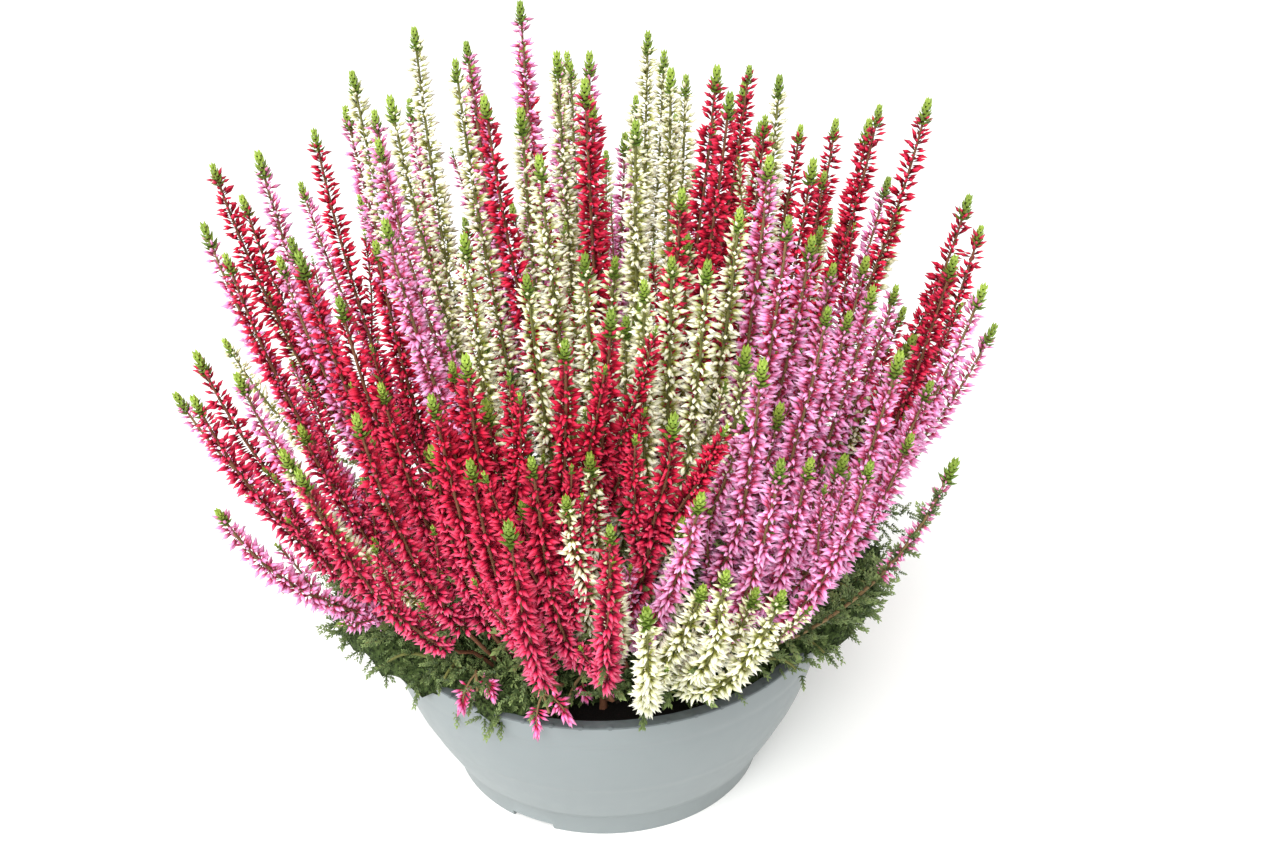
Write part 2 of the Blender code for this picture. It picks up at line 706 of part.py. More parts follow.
def fuse_crossings(item):
    """Lets stems of one spray that cross close above the foot grow into each other."""
    others = bpy.data.collections.new("others")
    union = item.modifiers.new("fuse", "BOOLEAN")
    union.operation = "UNION"
    union.solver = "EXACT"
    union.use_self = True
    union.operand_type = "COLLECTION"
    union.collection = others
    bpy.context.view_layer.update()
    fused = bpy.data.meshes.new_from_object(item.evaluated_get(bpy.context.evaluated_depsgraph_get()))
    item.modifiers.clear()
    item.data = fused
    bpy.data.collections.remove(others)


def colour_of(name):
    return next(colour for colour in COLOURS if colour in name)


def main():
    clear_scene()
    parts = bpy.data.collections.new(OBJECT_NAME)
    cutters = bpy.data.collections.new("cutters")
    bpy.context.scene.collection.children.link(parts)
    bpy.context.scene.collection.children.link(cutters)
    materials = {name: make_material(name, colour, ROUGHNESS.get(name, 0.7))
                 for name, colour in COLOURS.items()}
    plant = grown()
    make_pot(materials, parts, cutters)
    make_soil(plant, materials, parts, cutters)
    for name, stems in plant.items():
        make_spray(name, stems, materials[colour_of(name)], parts)


main()
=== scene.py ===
"""Potted heather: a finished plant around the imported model, with every floret, leaf and
stem, the soil's crumb and the moulded bowl, under soft studio light."""
import math

import bmesh
import bpy
import numpy as np
from mathutils import Matrix, Vector


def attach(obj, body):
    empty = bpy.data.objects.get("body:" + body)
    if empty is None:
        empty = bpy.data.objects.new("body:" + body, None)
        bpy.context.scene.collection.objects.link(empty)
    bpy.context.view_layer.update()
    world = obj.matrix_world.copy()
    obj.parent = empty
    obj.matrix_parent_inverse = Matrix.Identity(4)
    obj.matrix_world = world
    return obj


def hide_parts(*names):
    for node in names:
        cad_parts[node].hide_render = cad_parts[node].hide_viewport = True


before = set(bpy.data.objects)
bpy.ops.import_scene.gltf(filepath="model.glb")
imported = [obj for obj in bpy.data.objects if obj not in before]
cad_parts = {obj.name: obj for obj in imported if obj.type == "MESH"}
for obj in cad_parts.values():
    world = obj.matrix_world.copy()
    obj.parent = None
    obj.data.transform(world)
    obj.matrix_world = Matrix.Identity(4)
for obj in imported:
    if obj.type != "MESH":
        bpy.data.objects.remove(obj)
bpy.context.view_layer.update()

# Pot, in metres
POT_RADIUS = 0.115
POT_HEIGHT = 0.092
WALL = 0.0025
LIP_WIDTH = 0.0063
LIP_DEPTH = 0.004
LIP_SLOPE = 0.0012
FOOT_HEIGHT = 0.0152
FOOT_TOP_RADIUS = 0.0871
FOOT_BASE_RADIUS = 0.0829
WALL_END = 0.086
WALL_DROP = 0.0265
WALL_BEND = 1.6
FLOOR = 0.006
FLOOR_RADIUS = 0.077
NOTCHES = 3
NOTCH_TURN = math.radians(-117)
NOTCH_WIDTH = 0.0235
NOTCH_HEIGHT = 0.004
NOTCH_REACH = 0.0165
DRAIN_RADIUS = 0.003
DRAIN_PLACE = 0.0725

# Soil
SOIL_TOP = 0.082

# Crown: the rounded outside that the spike tips reach
CROWN_CENTRE = np.array((0.0, 0.004, 0.140))
CROWN_REACH = np.array((0.215, 0.215, 0.238))
CROWN_POWER = 2.5
CROWN_LEAST = 0.74

# Woody feet, stems and flower spikes
ROOT_SHARE = 0.43
ROOT_MOST = 0.085
ROOT_ROOM = 0.0210
FOOT_ROUNDS = 200
FOOT_PUSH = 0.3
STUB_RADIUS = 0.0026
FOOT_ROOM = 0.0014
FORK_LOW = 0.0035
FORK_STEP = 0.0034
STEM_GIRTH = 0.0027
STEM_GAP = 0.0020
SPIKE_RADIUS = 0.0072
SPIKE_TIP_RADIUS = 0.0034
SWELL_START = 0.6
SWELL_END = 0.25
TAPER = 1.3
SPIKE_START = 0.36
LOW_SPIKE_START = 0.22
LOW_TIP = 0.23
OUTWARD_BOW = 0.27
SAG = 0.10
SPIKES_PER_SPRAY = 4.0
SPIKES_MOST = 4
TIP_ROOM = 0.030
HIDDEN_ROOM = 0.0265
HIDDEN_TRIES = 260
SEED = 7
LOWEST_TIP = 0.15
LOWEST_HIDDEN = 0.19
HIDDEN_LEAST = 0.9
FRONT_END = 0.02
NEAR = 0.035
ROUNDS = 120
REFRESH = 10
CLOSE = 0.008
FORK_SHARE = 0.07
HOLD_FREE = 0.02
HOLD_RISE = 0.08
TIP_HOLD = 0.55
PUSH = 0.6
LIFT = 0.5
OVERSHOOT = 1.3
FLATTER = np.array((1.0, 1.0, 0.25))
SOIL_ROOM = 0.0015
LIP_ROOM = 0.001
LIP_FROM = 0.096
LIP_RUN = 0.008

# Leafy sprays that fill the foot of the plant and spill over the rim
LEAFY_SPRAYS = 12
LEAFY_START = math.radians(-52)
LEAFY_SWEEP = math.radians(278)
LEAFY_ROOT = 0.099
LEAFY_CREST = 0.014
LEAFY_TURNS = (0.0, -0.145, 0.145)
LEAFY_BEGIN = 0.42
LEAFY_REACH = 0.121
LEAFY_SIDE_REACH = 0.020
LEAFY_RADIUS = 0.0056
LEAFY_TIP_RADIUS = 0.0036
LEAFY_HEIGHT = 0.103
LEAFY_RISE = 0.006
LEAFY_TOP = 0.022

# Small nodding sprigs at the rim
SPRIG_RADIUS = 0.0062
SPRIG_HEIGHT = 0.1015
SPRIG_ROOT = 0.099
SPRIG_TURN = 0.16
SPRIG_CREST = 0.022
SPRIG_BEGIN = 0.45
SPRIG_TIP_RADIUS = 0.004

# Where the photograph was taken from, in metres and degrees
VIEW_PLACE = np.array((0.0196, -0.6707, 0.5260))
VIEW_TILT = math.radians(26.55)
VIEW_ROLL = math.radians(-0.64)
VIEW_FOCAL = 1492.0
VIEW_CENTRE = (640.0, 426.5)
HIGH_ROW = 230
SIGHT_STEPS = (0.30, 1.10, 0.004)

# Tips of the spikes that the photograph shows, as across and down in it, by colour
CRIMSON_TIPS = (
    (212, 164), (225, 254), (242, 197), (300, 257), (314, 131), (339, 299), (375, 240),
    (415, 190), (465, 220), (484, 98), (512, 206), (585, 83), (592, 103), (611, 313),
    (565, 341), (717, 69), (730, 96), (744, 87), (694, 167), (736, 176), (708, 220),
    (682, 190), (801, 125), (813, 163), (825, 170), (836, 121), (880, 105), (928, 103),
    (789, 193), (968, 199), (982, 225), (954, 260), (197, 355), (193, 397), (380, 382),
    (356, 416), (300, 425), (299, 472), (432, 449), (448, 447), (470, 462), (483, 408),
    (451, 360), (465, 357), (431, 396), (521, 500), (509, 527), (531, 456), (610, 525),
    (674, 418))
PINK_TIPS = (
    (520, 3), (567, 54), (557, 84), (555, 148), (466, 42), (625, 138), (346, 110),
    (374, 110), (377, 138), (410, 103), (259, 157), (301, 184), (205, 228), (292, 242),
    (279, 257), (360, 196), (385, 222), (619, 221), (713, 122), (770, 158), (888, 180),
    (812, 239), (845, 223), (789, 217), (834, 263), (866, 260), (873, 288), (897, 284),
    (829, 305), (850, 311), (763, 364), (750, 411), (780, 408), (781, 462), (771, 518),
    (811, 460), (846, 459), (871, 462), (912, 434), (930, 352), (931, 382), (950, 368),
    (899, 357), (983, 288), (954, 464), (701, 496), (177, 396), (237, 375), (216, 508))
WHITE_TIPS = (
    (414, 29), (455, 60), (352, 73), (390, 99), (464, 236), (483, 339), (648, 34),
    (664, 54), (671, 71), (686, 75), (636, 95), (636, 121), (647, 137), (676, 114),
    (539, 158), (521, 113), (606, 152), (740, 209), (760, 125), (773, 131), (687, 237),
    (672, 255), (708, 261), (644, 278), (585, 256), (617, 257), (526, 274), (642, 306),
    (626, 317), (746, 352), (831, 210), (821, 226), (900, 205), (913, 340), (530, 471),
    (589, 456), (566, 496), (613, 556), (676, 520), (727, 571), (704, 586), (756, 591),
    (783, 592), (647, 612), (284, 454))
SEEN_TIPS = {"crimson": CRIMSON_TIPS, "pink": PINK_TIPS, "white": WHITE_TIPS}
SPRIG_TIPS = ((478, 700), (551, 722), (597, 690))

LINE_POINTS = 25
LEVEL_FIRST = np.array((1.0, 1.0, 0.35))
UP = np.array((0.0, 0.0, 1.0))


def view_axes():
    """The directions ahead, to the right and up as the photograph shows them."""
    ahead = np.array((0.0, math.cos(VIEW_TILT), -math.sin(VIEW_TILT)))
    above = np.array((0.0, math.sin(VIEW_TILT), math.cos(VIEW_TILT)))
    right = np.array((1.0, 0.0, 0.0))
    side = math.cos(VIEW_ROLL) * right + math.sin(VIEW_ROLL) * above
    lift = math.cos(VIEW_ROLL) * above - math.sin(VIEW_ROLL) * right
    return ahead, side, lift


def sight_line(across, down):
    """The unit direction from the viewpoint through one point of the photograph."""
    ahead, side, lift = view_axes()
    line = ahead + (across - VIEW_CENTRE[0]) / VIEW_FOCAL * side
    line = line - (down - VIEW_CENTRE[1]) / VIEW_FOCAL * lift
    return line / np.linalg.norm(line)


def crown_share(points):
    """How far out each point lies in the crown: 0 at its centre and 1 on its outside."""
    local = (points - CROWN_CENTRE) / CROWN_REACH
    level = np.hypot(local[..., 0], local[..., 1])
    total = level ** CROWN_POWER + np.abs(local[..., 2]) ** CROWN_POWER
    return total ** (1 / CROWN_POWER)


def places_on_line(spot):
    """Every place on a tip's sight line that lies in the outer part of the crown."""
    steps = np.arange(*SIGHT_STEPS)
    points = VIEW_PLACE + steps[:, None] * sight_line(*spot)
    share = crown_share(points)
    inside = (share <= 1) & (share >= CROWN_LEAST) & (points[:, 2] > LOWEST_TIP)
    if spot[1] > HIGH_ROW:
        inside &= points[:, 1] < FRONT_END
    if not inside.any():
        nearest = np.argmin(share + 9 * (points[:, 2] < LOWEST_TIP))
        return points[nearest:nearest + 1], share[nearest:nearest + 1]
    return points[inside], share[inside]


def room(points, taken):
    """The distance from each point to the nearest taken one, mostly as seen from above."""
    if not len(taken):
        return np.full(len(points), 1.0)
    apart = (points[:, None] - np.array(taken)[None]) * LEVEL_FIRST
    return np.sqrt((apart ** 2).sum(-1)).min(1)


def seen_tips():
    """The tips of the spikes that the photograph shows, spread out along their sight lines."""
    spots = [(colour, spot) for colour, tips in SEEN_TIPS.items() for spot in tips]
    places = [places_on_line(spot) for colour, spot in spots]

    def turn(index):
        down = spots[index][1][1]
        return len(places[index][0]) > 3, -down if down > HIGH_ROW else down

    chosen = {}
    for index in sorted(range(len(spots)), key=turn):
        points, share = places[index]
        score = np.minimum(room(points, list(chosen.values())), TIP_ROOM) + 0.05 * share
        chosen[index] = points[np.argmax(score)]
    return [(spots[index][0], chosen[index]) for index in range(len(spots))]


def hidden_tips(taken):
    """Tips on the far side, where the seen ones leave room, in a sunflower spiral."""
    draw = np.random.default_rng(SEED)
    golden = math.pi * (3 - math.sqrt(5))
    taken = list(taken)
    tips = []
    for number in range(HIDDEN_TRIES):
        height = 1 - (number + 0.5) / HIDDEN_TRIES
        level = math.sqrt(1 - height * height)
        ray = np.array((level * math.cos(golden * number), level * math.sin(golden * number), height))
        ray /= (level ** CROWN_POWER + height ** CROWN_POWER) ** (1 / CROWN_POWER)
        point = CROWN_CENTRE + CROWN_REACH * ray * draw.uniform(HIDDEN_LEAST, 1.0)
        colour = list(SEEN_TIPS)[draw.integers(3)]
        if point[1] < 0 or point[2] < LOWEST_HIDDEN or room(point[None], taken)[0] < HIDDEN_ROOM:
            continue
        taken.append(point)
        tips.append((colour, point))
    return tips


def split(points, count):
    """Parts a set of tips into that many close groups, halving across its longer side."""
    if count == 1:
        return [points]
    axis = int(np.argmax(np.ptp(np.array(points)[:, :2], axis=0)))
    ranked = sorted(points, key=lambda point: point[axis])
    first = count // 2
    cut = round(len(points) * first / count)
    return split(ranked[:cut], first) + split(ranked[cut:], count - first)


def sprays():
    """The flowering sprays as (name, tips): tips of one colour that share a woody foot."""
    tips = seen_tips()
    tips += hidden_tips([point for colour, point in tips])
    found = []
    for colour in SEEN_TIPS:
        own = [tuple(point) for name, point in tips if name == colour]
        groups = split(own, round(len(own) / SPIKES_PER_SPRAY))
        groups.sort(key=lambda group: math.atan2(*np.mean(group, axis=0)[1::-1]))
        for number, group in enumerate(groups, 1):
            found.append((f"spray_{colour}_{number:02d}", np.array(group)))
    return found


def kept_apart(feet):
    """Moves feet that stand closer than their room apart, within the soil."""
    feet = feet.copy()
    for _ in range(FOOT_ROUNDS):
        gap = feet[:, None] - feet[None]
        span = np.hypot(gap[..., 0], gap[..., 1]) + np.eye(len(feet))
        push = np.clip(ROOT_ROOM - span, 0, None) / span
        feet += FOOT_PUSH * (gap * push[..., None]).sum(1)
        feet *= np.minimum(1, ROOT_MOST / np.hypot(feet[:, 0], feet[:, 1]))[:, None]
    return feet


def arch(start, middle, end):
    """Points along the smooth bow from start to end that middle draws out."""
    share = np.linspace(0, 1, LINE_POINTS)[:, None]
    return (1 - share) ** 2 * start + 2 * share * (1 - share) * middle + share ** 2 * end


def bow(start, end):
    """A stem's line from start to end: it leans out first and then rises more steeply."""
    run = end - start
    level = np.array((run[0], run[1], 0.0))
    middle = start + 0.5 * run + OUTWARD_BOW * level - SAG * np.linalg.norm(level) * UP
    return arch(start, middle, end)


def spike_start(tip):
    """How far up its line a spike's flowers begin: low spikes flower almost from the soil."""
    rise = min(1.0, max(0.0, (tip[2] - LOWEST_TIP) / (LOW_TIP - LOWEST_TIP)))
    return LOW_SPIKE_START + rise * (SPIKE_START - LOW_SPIKE_START)


def fullness(along, radius, tip_radius):
    """How far the florets reach at a share of the spike: fullest low down, slim at the tip."""
    swell = SWELL_START + (1 - SWELL_START) * np.minimum(1, along / SWELL_END)
    return (radius + (tip_radius - radius) * along ** TAPER) * swell


def girth(begin, radius, tip_radius):
    """The radius that a stem and the relief it carries take up along its line."""
    share = np.linspace(0, 1, LINE_POINTS)
    along = np.clip((share - begin) / (1 - begin), 0, 1)
    return np.where(share < begin - 0.02, STEM_GIRTH, fullness(along, radius, tip_radius))


def stem(name, line, begin, radius, tip_radius):
    """One stem with all that the shapes need, as a plain record."""
    return {"name": name, "line": line, "begin": begin, "radius": radius,
            "tip_radius": tip_radius, "girth": girth(begin, radius, tip_radius)}


def forks(name, foot, ends, middles, begins, radius, tip_radius):
    """The stems of one spray: the first goes on from the woody foot, the others fork below."""
    stems = []
    for rank, (end, middle, begin) in enumerate(zip(ends, middles, begins)):
        step = len(ends) - 1 if rank == 0 else rank - 0.4
        height = FORK_LOW + FORK_STEP * step
        start = np.array((foot[0], foot[1], SOIL_TOP + height))
        line = bow(start, end) if middle is None else arch(start, middle, end)
        stems.append(stem(name, line, begin, radius, tip_radius))
    return stems


def flowering_stems():
    """Every flowering stem, with each spray's foot drawn in towards the middle of the soil."""
    groups = sprays()
    feet = kept_apart(np.array([tips[:, :2].mean(0) for name, tips in groups]) * ROOT_SHARE)
    stems = []
    for (name, tips), foot in zip(groups, feet):
        leans = [math.dist(tip[:2], foot) / tip[2] for tip in tips]
        ranked = [tips[index] for index in np.argsort(leans)]
        ends = ranked[:1] + ranked[:0:-1]
        begins = [spike_start(tip) for tip in ends]
        stems += forks(name, foot, ends, [None] * len(ends), begins, SPIKE_RADIUS, SPIKE_TIP_RADIUS)
    return stems


def leafy_stems():
    """Low shoots round the soil's edge that arch over the rim, further at the two sides.

    In front, where the soil shows, the sprigs take their place.
    """
    stems = []
    for number in range(LEAFY_SPRAYS):
        turn = LEAFY_START + LEAFY_SWEEP * number / (LEAFY_SPRAYS - 1)
        foot = LEAFY_ROOT * np.array((math.cos(turn), math.sin(turn)))
        ends, middles = [], []
        for rank, extra in enumerate(LEAFY_TURNS):
            out = np.array((math.cos(turn + extra), math.sin(turn + extra), 0.0))
            reach = LEAFY_REACH + LEAFY_SIDE_REACH * out[0] ** 2
            height = LEAFY_HEIGHT + LEAFY_RISE * ((number + rank) % 2) + LEAFY_TOP * (rank == 0)
            ends.append(reach * out + height * UP)
            middles.append((LEAFY_ROOT + reach) / 2 * out + (height + LEAFY_CREST) * UP)
        begins = [LEAFY_BEGIN] * len(ends)
        stems += forks(f"leafy_{number + 1:02d}", foot, ends, middles, begins,
                       LEAFY_RADIUS, LEAFY_TIP_RADIUS)
    return stems


def sprig_stems():
    """The three short flower sprigs that nod over the rim in front."""
    stems = []
    for number, spot in enumerate(SPRIG_TIPS, 1):
        line = sight_line(*spot)
        tip = VIEW_PLACE + line * (SPRIG_HEIGHT - VIEW_PLACE[2]) / line[2]
        turn = math.atan2(tip[1], tip[0]) - SPRIG_TURN
        foot = SPRIG_ROOT * np.array((math.cos(turn), math.sin(turn), 0.0))
        middle = (foot + tip) / 2 * (1, 1, 0) + (SPRIG_HEIGHT + SPRIG_CREST) * UP
        stems += forks(f"sprig_pink_{number:02d}", foot, [tip], [middle], [SPRIG_BEGIN],
                       SPRIG_RADIUS, SPRIG_TIP_RADIUS)
    return stems


def least_height(lines, girths):
    """How high each point must lie to clear the soil and the pot's lip."""
    level = np.hypot(lines[..., 0], lines[..., 1])
    rise = np.clip((level - LIP_FROM) / LIP_RUN, 0, 1)
    return SOIL_TOP + SOIL_ROOM + rise * (POT_HEIGHT + LIP_ROOM - SOIL_TOP) + girths


def foot_guards(stems):
    """Upright lines where the woody feet stand, for other sprays' stems to keep clear of."""
    guards = {}
    for each in stems:
        low = each["line"][0] * (1, 1, 0) + SOIL_TOP * UP
        high = low + (FORK_LOW + FORK_STEP * (SPIKES_MOST - 1)) * UP
        guards[each["name"]] = np.linspace(low, high, LINE_POINTS)
    return guards


def spread_apart(stems):
    """Bends stems that would touch clear of each other, with their feet and forks held."""
    guards = foot_guards(stems)
    lines = np.array([each["line"] for each in stems] + list(guards.values()))
    girths = np.array([each["girth"] for each in stems]
                      + [np.full(LINE_POINTS, STUB_RADIUS + FOOT_ROOM)] * len(guards))
    names = np.array([each["name"] for each in stems] + list(guards))
    one, two = np.triu_indices(len(lines), 1)
    near = [np.linalg.norm(lines[a][:, None] - lines[b][None], axis=-1).min() < NEAR
            for a, b in zip(one, two)]
    one, two = one[near], two[near]
    need = girths[one][:, :, None] + girths[two][:, None, :] + STEM_GAP
    share = np.linspace(0, 1, LINE_POINTS)
    low = (share[:, None] < FORK_SHARE) | (share[None, :] < FORK_SHARE)
    same = (names[one] == names[two])[:, None, None]
    need = np.where(same & (low | (two >= len(stems))[:, None, None]), 0, need)
    hold = np.clip((share - HOLD_FREE) / HOLD_RISE, 0, 1) * (1 - TIP_HOLD * share ** 4)
    bends = np.array([each["name"].startswith("spray") for each in stems] + [False] * len(guards))
    for number in range(ROUNDS):
        if number % REFRESH == 0:
            gap = lines[one][:, :, None] - lines[two][:, None, :]
            close = (np.linalg.norm(gap, axis=-1) - need).min((1, 2)) < CLOSE
            left, right, wanted = one[close], two[close], need[close]
        gap = lines[left][:, :, None] - lines[right][:, None, :]
        span = np.linalg.norm(gap, axis=-1) + 1e-9
        short = np.clip(wanted - span, 0, None)
        away = gap * FLATTER * (short / span)[..., None]
        shift = np.zeros_like(lines)
        hits = np.zeros(lines.shape[:2])
        np.add.at(shift, left, away.sum(2))
        np.add.at(shift, right, -away.sum(1))
        np.add.at(hits, left, (short > 0).sum(2))
        np.add.at(hits, right, (short > 0).sum(1))
        shift *= (PUSH / np.maximum(hits, 1))[..., None]
        shift[..., 2] += LIFT * np.clip(least_height(lines, girths) - lines[..., 2], 0, None)
        for _ in range(2):
            inner = (shift[:, :-2] + 2 * shift[:, 1:-1] + shift[:, 2:]) / 4
            shift = np.concatenate((shift[:, :1], inner, shift[:, -1:]), axis=1)
        lines = lines + OVERSHOOT * shift * hold[None, :, None] * bends[:, None, None]
    for each, line in zip(stems, lines):
        each["line"] = line
    return stems


def grown():
    """All stems by spray name, in a fixed order, clear of each other."""
    plant = {}
    for each in spread_apart(flowering_stems() + leafy_stems() + sprig_stems()):
        plant.setdefault(each["name"], []).append(each)
    return plant


# Bowl: its moulded details
BOWL_SIDES = 120
LIP_ROUND = 0.0008
LIP_SOFT = 0.0003
LIP_INNER_ROUND = 0.0004
WALL_TOP = 0.090
WALL_ROWS = 24
WALL_STEPS = (0.0794, 0.0463)
STEP_PROUD = 0.00018
STEP_DROP = 0.0002
FOOT_LEDGE = 0.0004
FOOT_ROUND = 0.0010
FLOOR_ROUND = 0.001
INSIDE_FROM = 0.026
INSIDE_ROWS = 8
NUBS = 52
NUB_SIZE = (0.0020, 0.0024, 0.0022)
NUB_PLACE = 0.0009
NUB_DROP = 0.0004
NUB_ROUND = 0.0004
SHARP_EDGE = math.radians(32)

# Soil: its body, uneven top and crumbs
SOIL_PLAY = 0.0006
SOIL_SIDES = 90
SOIL_RINGS = 24
SOIL_WALL_HEIGHTS = (0.060, 0.045, 0.032)
SOIL_EDGE_HEIGHT = 0.078
SOIL_SWELL = 0.0042
SOIL_WAVES = 24
SOIL_WAVE = 260
CRUMB_RADIUS = 0.0012
CRUMB_DENSITY = 7000.0

# Florets: their form, and how they stand on a spike, from its young tip to full bloom
FLORET_BASE = 0.0004
FLORET_LENGTH = 0.0074
FLORET_RADIUS = 0.00098
FLORET_BELLY = 0.0043
FLORET_SIDES = 4
FLORET_SPACING = 0.00047
FLOWERS_FROM = 0.85
FLOWER_RISE = 0.018
BARE_TOP = 0.0075
YOUNG_LENGTH = 0.042
YOUNG_LEAN = 52
FULL_LEAN = 76
LEAN_CURVE = 0.7
YOUNG_SIZE = 0.70
SIZE_CURVE = 0.8
YOUNG_CROWD = 0.74

# The low thin stem on the right, and the stems there that are bare further up
SLENDER = ("pink", 0.140, -0.120)
SLENDER_FROM = 0.60
SLENDER_SIZE = 0.7
SLENDER_CROWD = 0.6
SLENDER_GROWN = 0.4
BARE_RIGHT = 0.034
BARE_WIDTH = 0.09

# Side shoots: short ones low on the spikes, and full ones beside the front crimson spikes
SIDE_SHOOTS = {"crimson": 3, "pink": 2, "white": 1}
SIDE_FROM = (-0.10, 0.24)
SIDE_LENGTH = (0.030, 0.062)
SIDE_BEGIN = 0.16
SIDE_END = 0.95
SIDE_POINTS = 6
SIDE_TURN = 2.4
SIDE_OUT = 0.55 * math.tan(math.radians(30))
SIDE_BOW = 0.75
SIDE_WIDEST = 0.12
SIDE_LOWEST = POT_HEIGHT + 0.016
FULL_FRONT = ("crimson", 0.045, -0.140, 0.27)
FULL_SHOOTS = 3
FULL_FROM = (-0.10, 0.30)
FULL_LENGTH = (0.070, 0.115)
FULL_BEGIN = 0.10
FULL_ASIDE = 0.017
FULL_SWAY = 0.25
OFF_EVERY_STEM = (0.3, 0.2, 0.93)

# Stems, scale leaves and tufts
LINE_STEPS = 16
STEM_SIDES = 5
STEM_LOW = 0.0011
STEM_HIGH = 0.0006
SHOOT_STEM = 0.0006
SHOOT_STEM_END = 0.0004
STEM_FOOT = (0.0024, 0.0023, 0.0020, 0.0018, 0.0013)
STEM_SUNK = 0.006
STEM_TOP = 0.004
SCALE_SPACING = 0.0052
SCALE_LENGTH = 0.0030
SCALE_WIDTH = 0.0011
SCALE_LEAN = 42
TUFT_LENGTH = 0.010

# Small leafy parts: length, ranks, leaves a rank, leaf length and width, first and last lean, stalk
LEAFY_PARTS = {
    "shoot": (0.013, 9, 2, 0.0034, 0.0018, 0.80, 0.40, 0.0006),
    "sprout": (0.0088, 8, 2, 0.0025, 0.0014, 0.95, 0.40, 0.0007),
    "tuft": (TUFT_LENGTH, 7, 4, 0.0046, 0.0026, 1.05, 0.30, 0.0009),
    "bud": (0.0042, 3, 3, 0.0024, 0.0014, 0.9, 0.3, 0.0005),
}

# Foliage round the foot: how far out it lies, as (degrees, metres)
RIM_REACH = ((-180, 0.158), (-163, 0.160), (-153, 0.148), (-141, 0.138), (-129, 0.128),
             (-117, 0.134), (-108, 0.126), (-101, 0.101), (-79, 0.092), (-63, 0.103), (-53, 0.112),
             (-31, 0.130), (-14, 0.156), (0, 0.166), (30, 0.155), (60, 0.146), (90, 0.142),
             (120, 0.146), (150, 0.153), (180, 0.158))
RIM_SPACING = 0.0048
RIM_BRANCHES = 84
RIM_VARY = (0.90, 1.02)
GOLDEN_TURN = 137.508
RIM_SWERVE = 16
RIM_RUN = (0.040, 0.060)
RIM_BEND = 0.022
RIM_OVER = 0.118
RIM_LEVEL = 0.095
RIM_RISE = 0.70
RIM_CREST = (0.006, 0.026)
INNER_SPACING = 0.020

# The leafy cushion in that foliage, and the shoots on it
CUSHION_COLUMNS = 120
CUSHION_ROWS = 18
CUSHION_FIRST = 0.004
CUSHION_IN = 0.016
CUSHION_TOP = 0.102
CUSHION_RISE = 0.60
CUSHION_FROM = 0.110
CUSHION_ROOT = 0.112
CUSHION_TURN = 0.72
CUSHION_WAIST = 0.35
CUSHION_LUMP = 0.030
CUSHION_SMOOTH = 0.8
CUSHION_WAVES = 30
CUSHION_WAVE = 190
CUSHION_HANG = 0.008
CUSHION_CLEAR = 0.0012
MOSS_DENSITY = 22000.0
MOSS_STEEPEST = -0.90
WALL_ROOM = 0.004
WALL_INSIDE = 0.098
WALL_REACH = 0.112

# Sprigs: each ends in two small bunches of florets
BUNCH_FORK = 15
BUNCH_ASIDE = (0.007, -0.002, 0.004)
BUNCH_VARY = 0.001
BUNCH_RISE = 0.003
BUNCH_FROM = 0.45
BUNCH_POINTS = 8
BUNCH_SPACING = 0.00032
BUNCH_SIZE = 0.86
BUNCH_LEAN = (1.7, 0.35)

# Colours, in linear light
CRIMSON = ((0.22, 0.004, 0.016), (0.58, 0.006, 0.036), (0.78, 0.050, 0.120))
PINK = ((0.60, 0.065, 0.14), (0.88, 0.29, 0.58), (0.97, 0.58, 0.86))
WHITE = ((0.38, 0.40, 0.08), (0.90, 0.90, 0.60), (0.98, 0.98, 0.85))
ROSE = ((0.66, 0.04, 0.12), (0.88, 0.16, 0.42), (0.96, 0.42, 0.66))
FLORETS = {"crimson": CRIMSON, "pink": PINK, "white": WHITE, "rose": ROSE}
LEAF_DARK = (0.034, 0.062, 0.018)
LEAF_LIGHT = (0.22, 0.30, 0.10)
TUFT_DARK = (0.075, 0.15, 0.014)
TUFT_LIGHT = (0.32, 0.45, 0.060)
YOUNG = {"crimson": (0.34, 0.035, 0.070), "pink": (0.50, 0.14, 0.24), "white": (0.62, 0.62, 0.30),
         "rose": ROSE[1]}
BARK = {"crimson": (0.17, 0.070, 0.036), "pink": (0.19, 0.125, 0.055), "white": (0.15, 0.155, 0.045)}
SCALE_DARK = (0.035, 0.045, 0.018)
SCALE_LIGHT = (0.14, 0.13, 0.045)
# Painted shade of the deep foliage, for the cushion between the shoots
PAINTED_DEPTH_SHADE = (0.009, 0.017, 0.005)
DEPTH_LIGHT = (0.100, 0.152, 0.045)
POT_GREY = (0.208, 0.238, 0.243)
# Painted shade: a darker grey for the lip and the inside of the bowl, which lie in the plant's shade
SHADED_LIP_GREY = (0.100, 0.118, 0.122)
PEAT = (0.012, 0.009, 0.007)
PEAT_DARK = (0.006, 0.0045, 0.0035)
PEAT_FIBRE = (0.060, 0.040, 0.024)
FLOOR_TONES = ((0.86, 0.86, 0.84), (0.88, 0.88, 0.865))

# Light: the key from the front and above, a soft fill from the left, and an even surround
SURROUND = 0.66
KEY_PLACE = (-0.20, -0.90, 0.95)
KEY_STRENGTH = 3.6
KEY_SOFTNESS = 42
FILL_PLACE = (-1.5, -0.7, 0.7)
FILL_SIZE = 1.0
FILL_POWER = 14.0
FILL_AIM = (0.0, 0.0, 0.18)
FLOOR_SIZE = 24
FLOOR_GLOW = 0.14


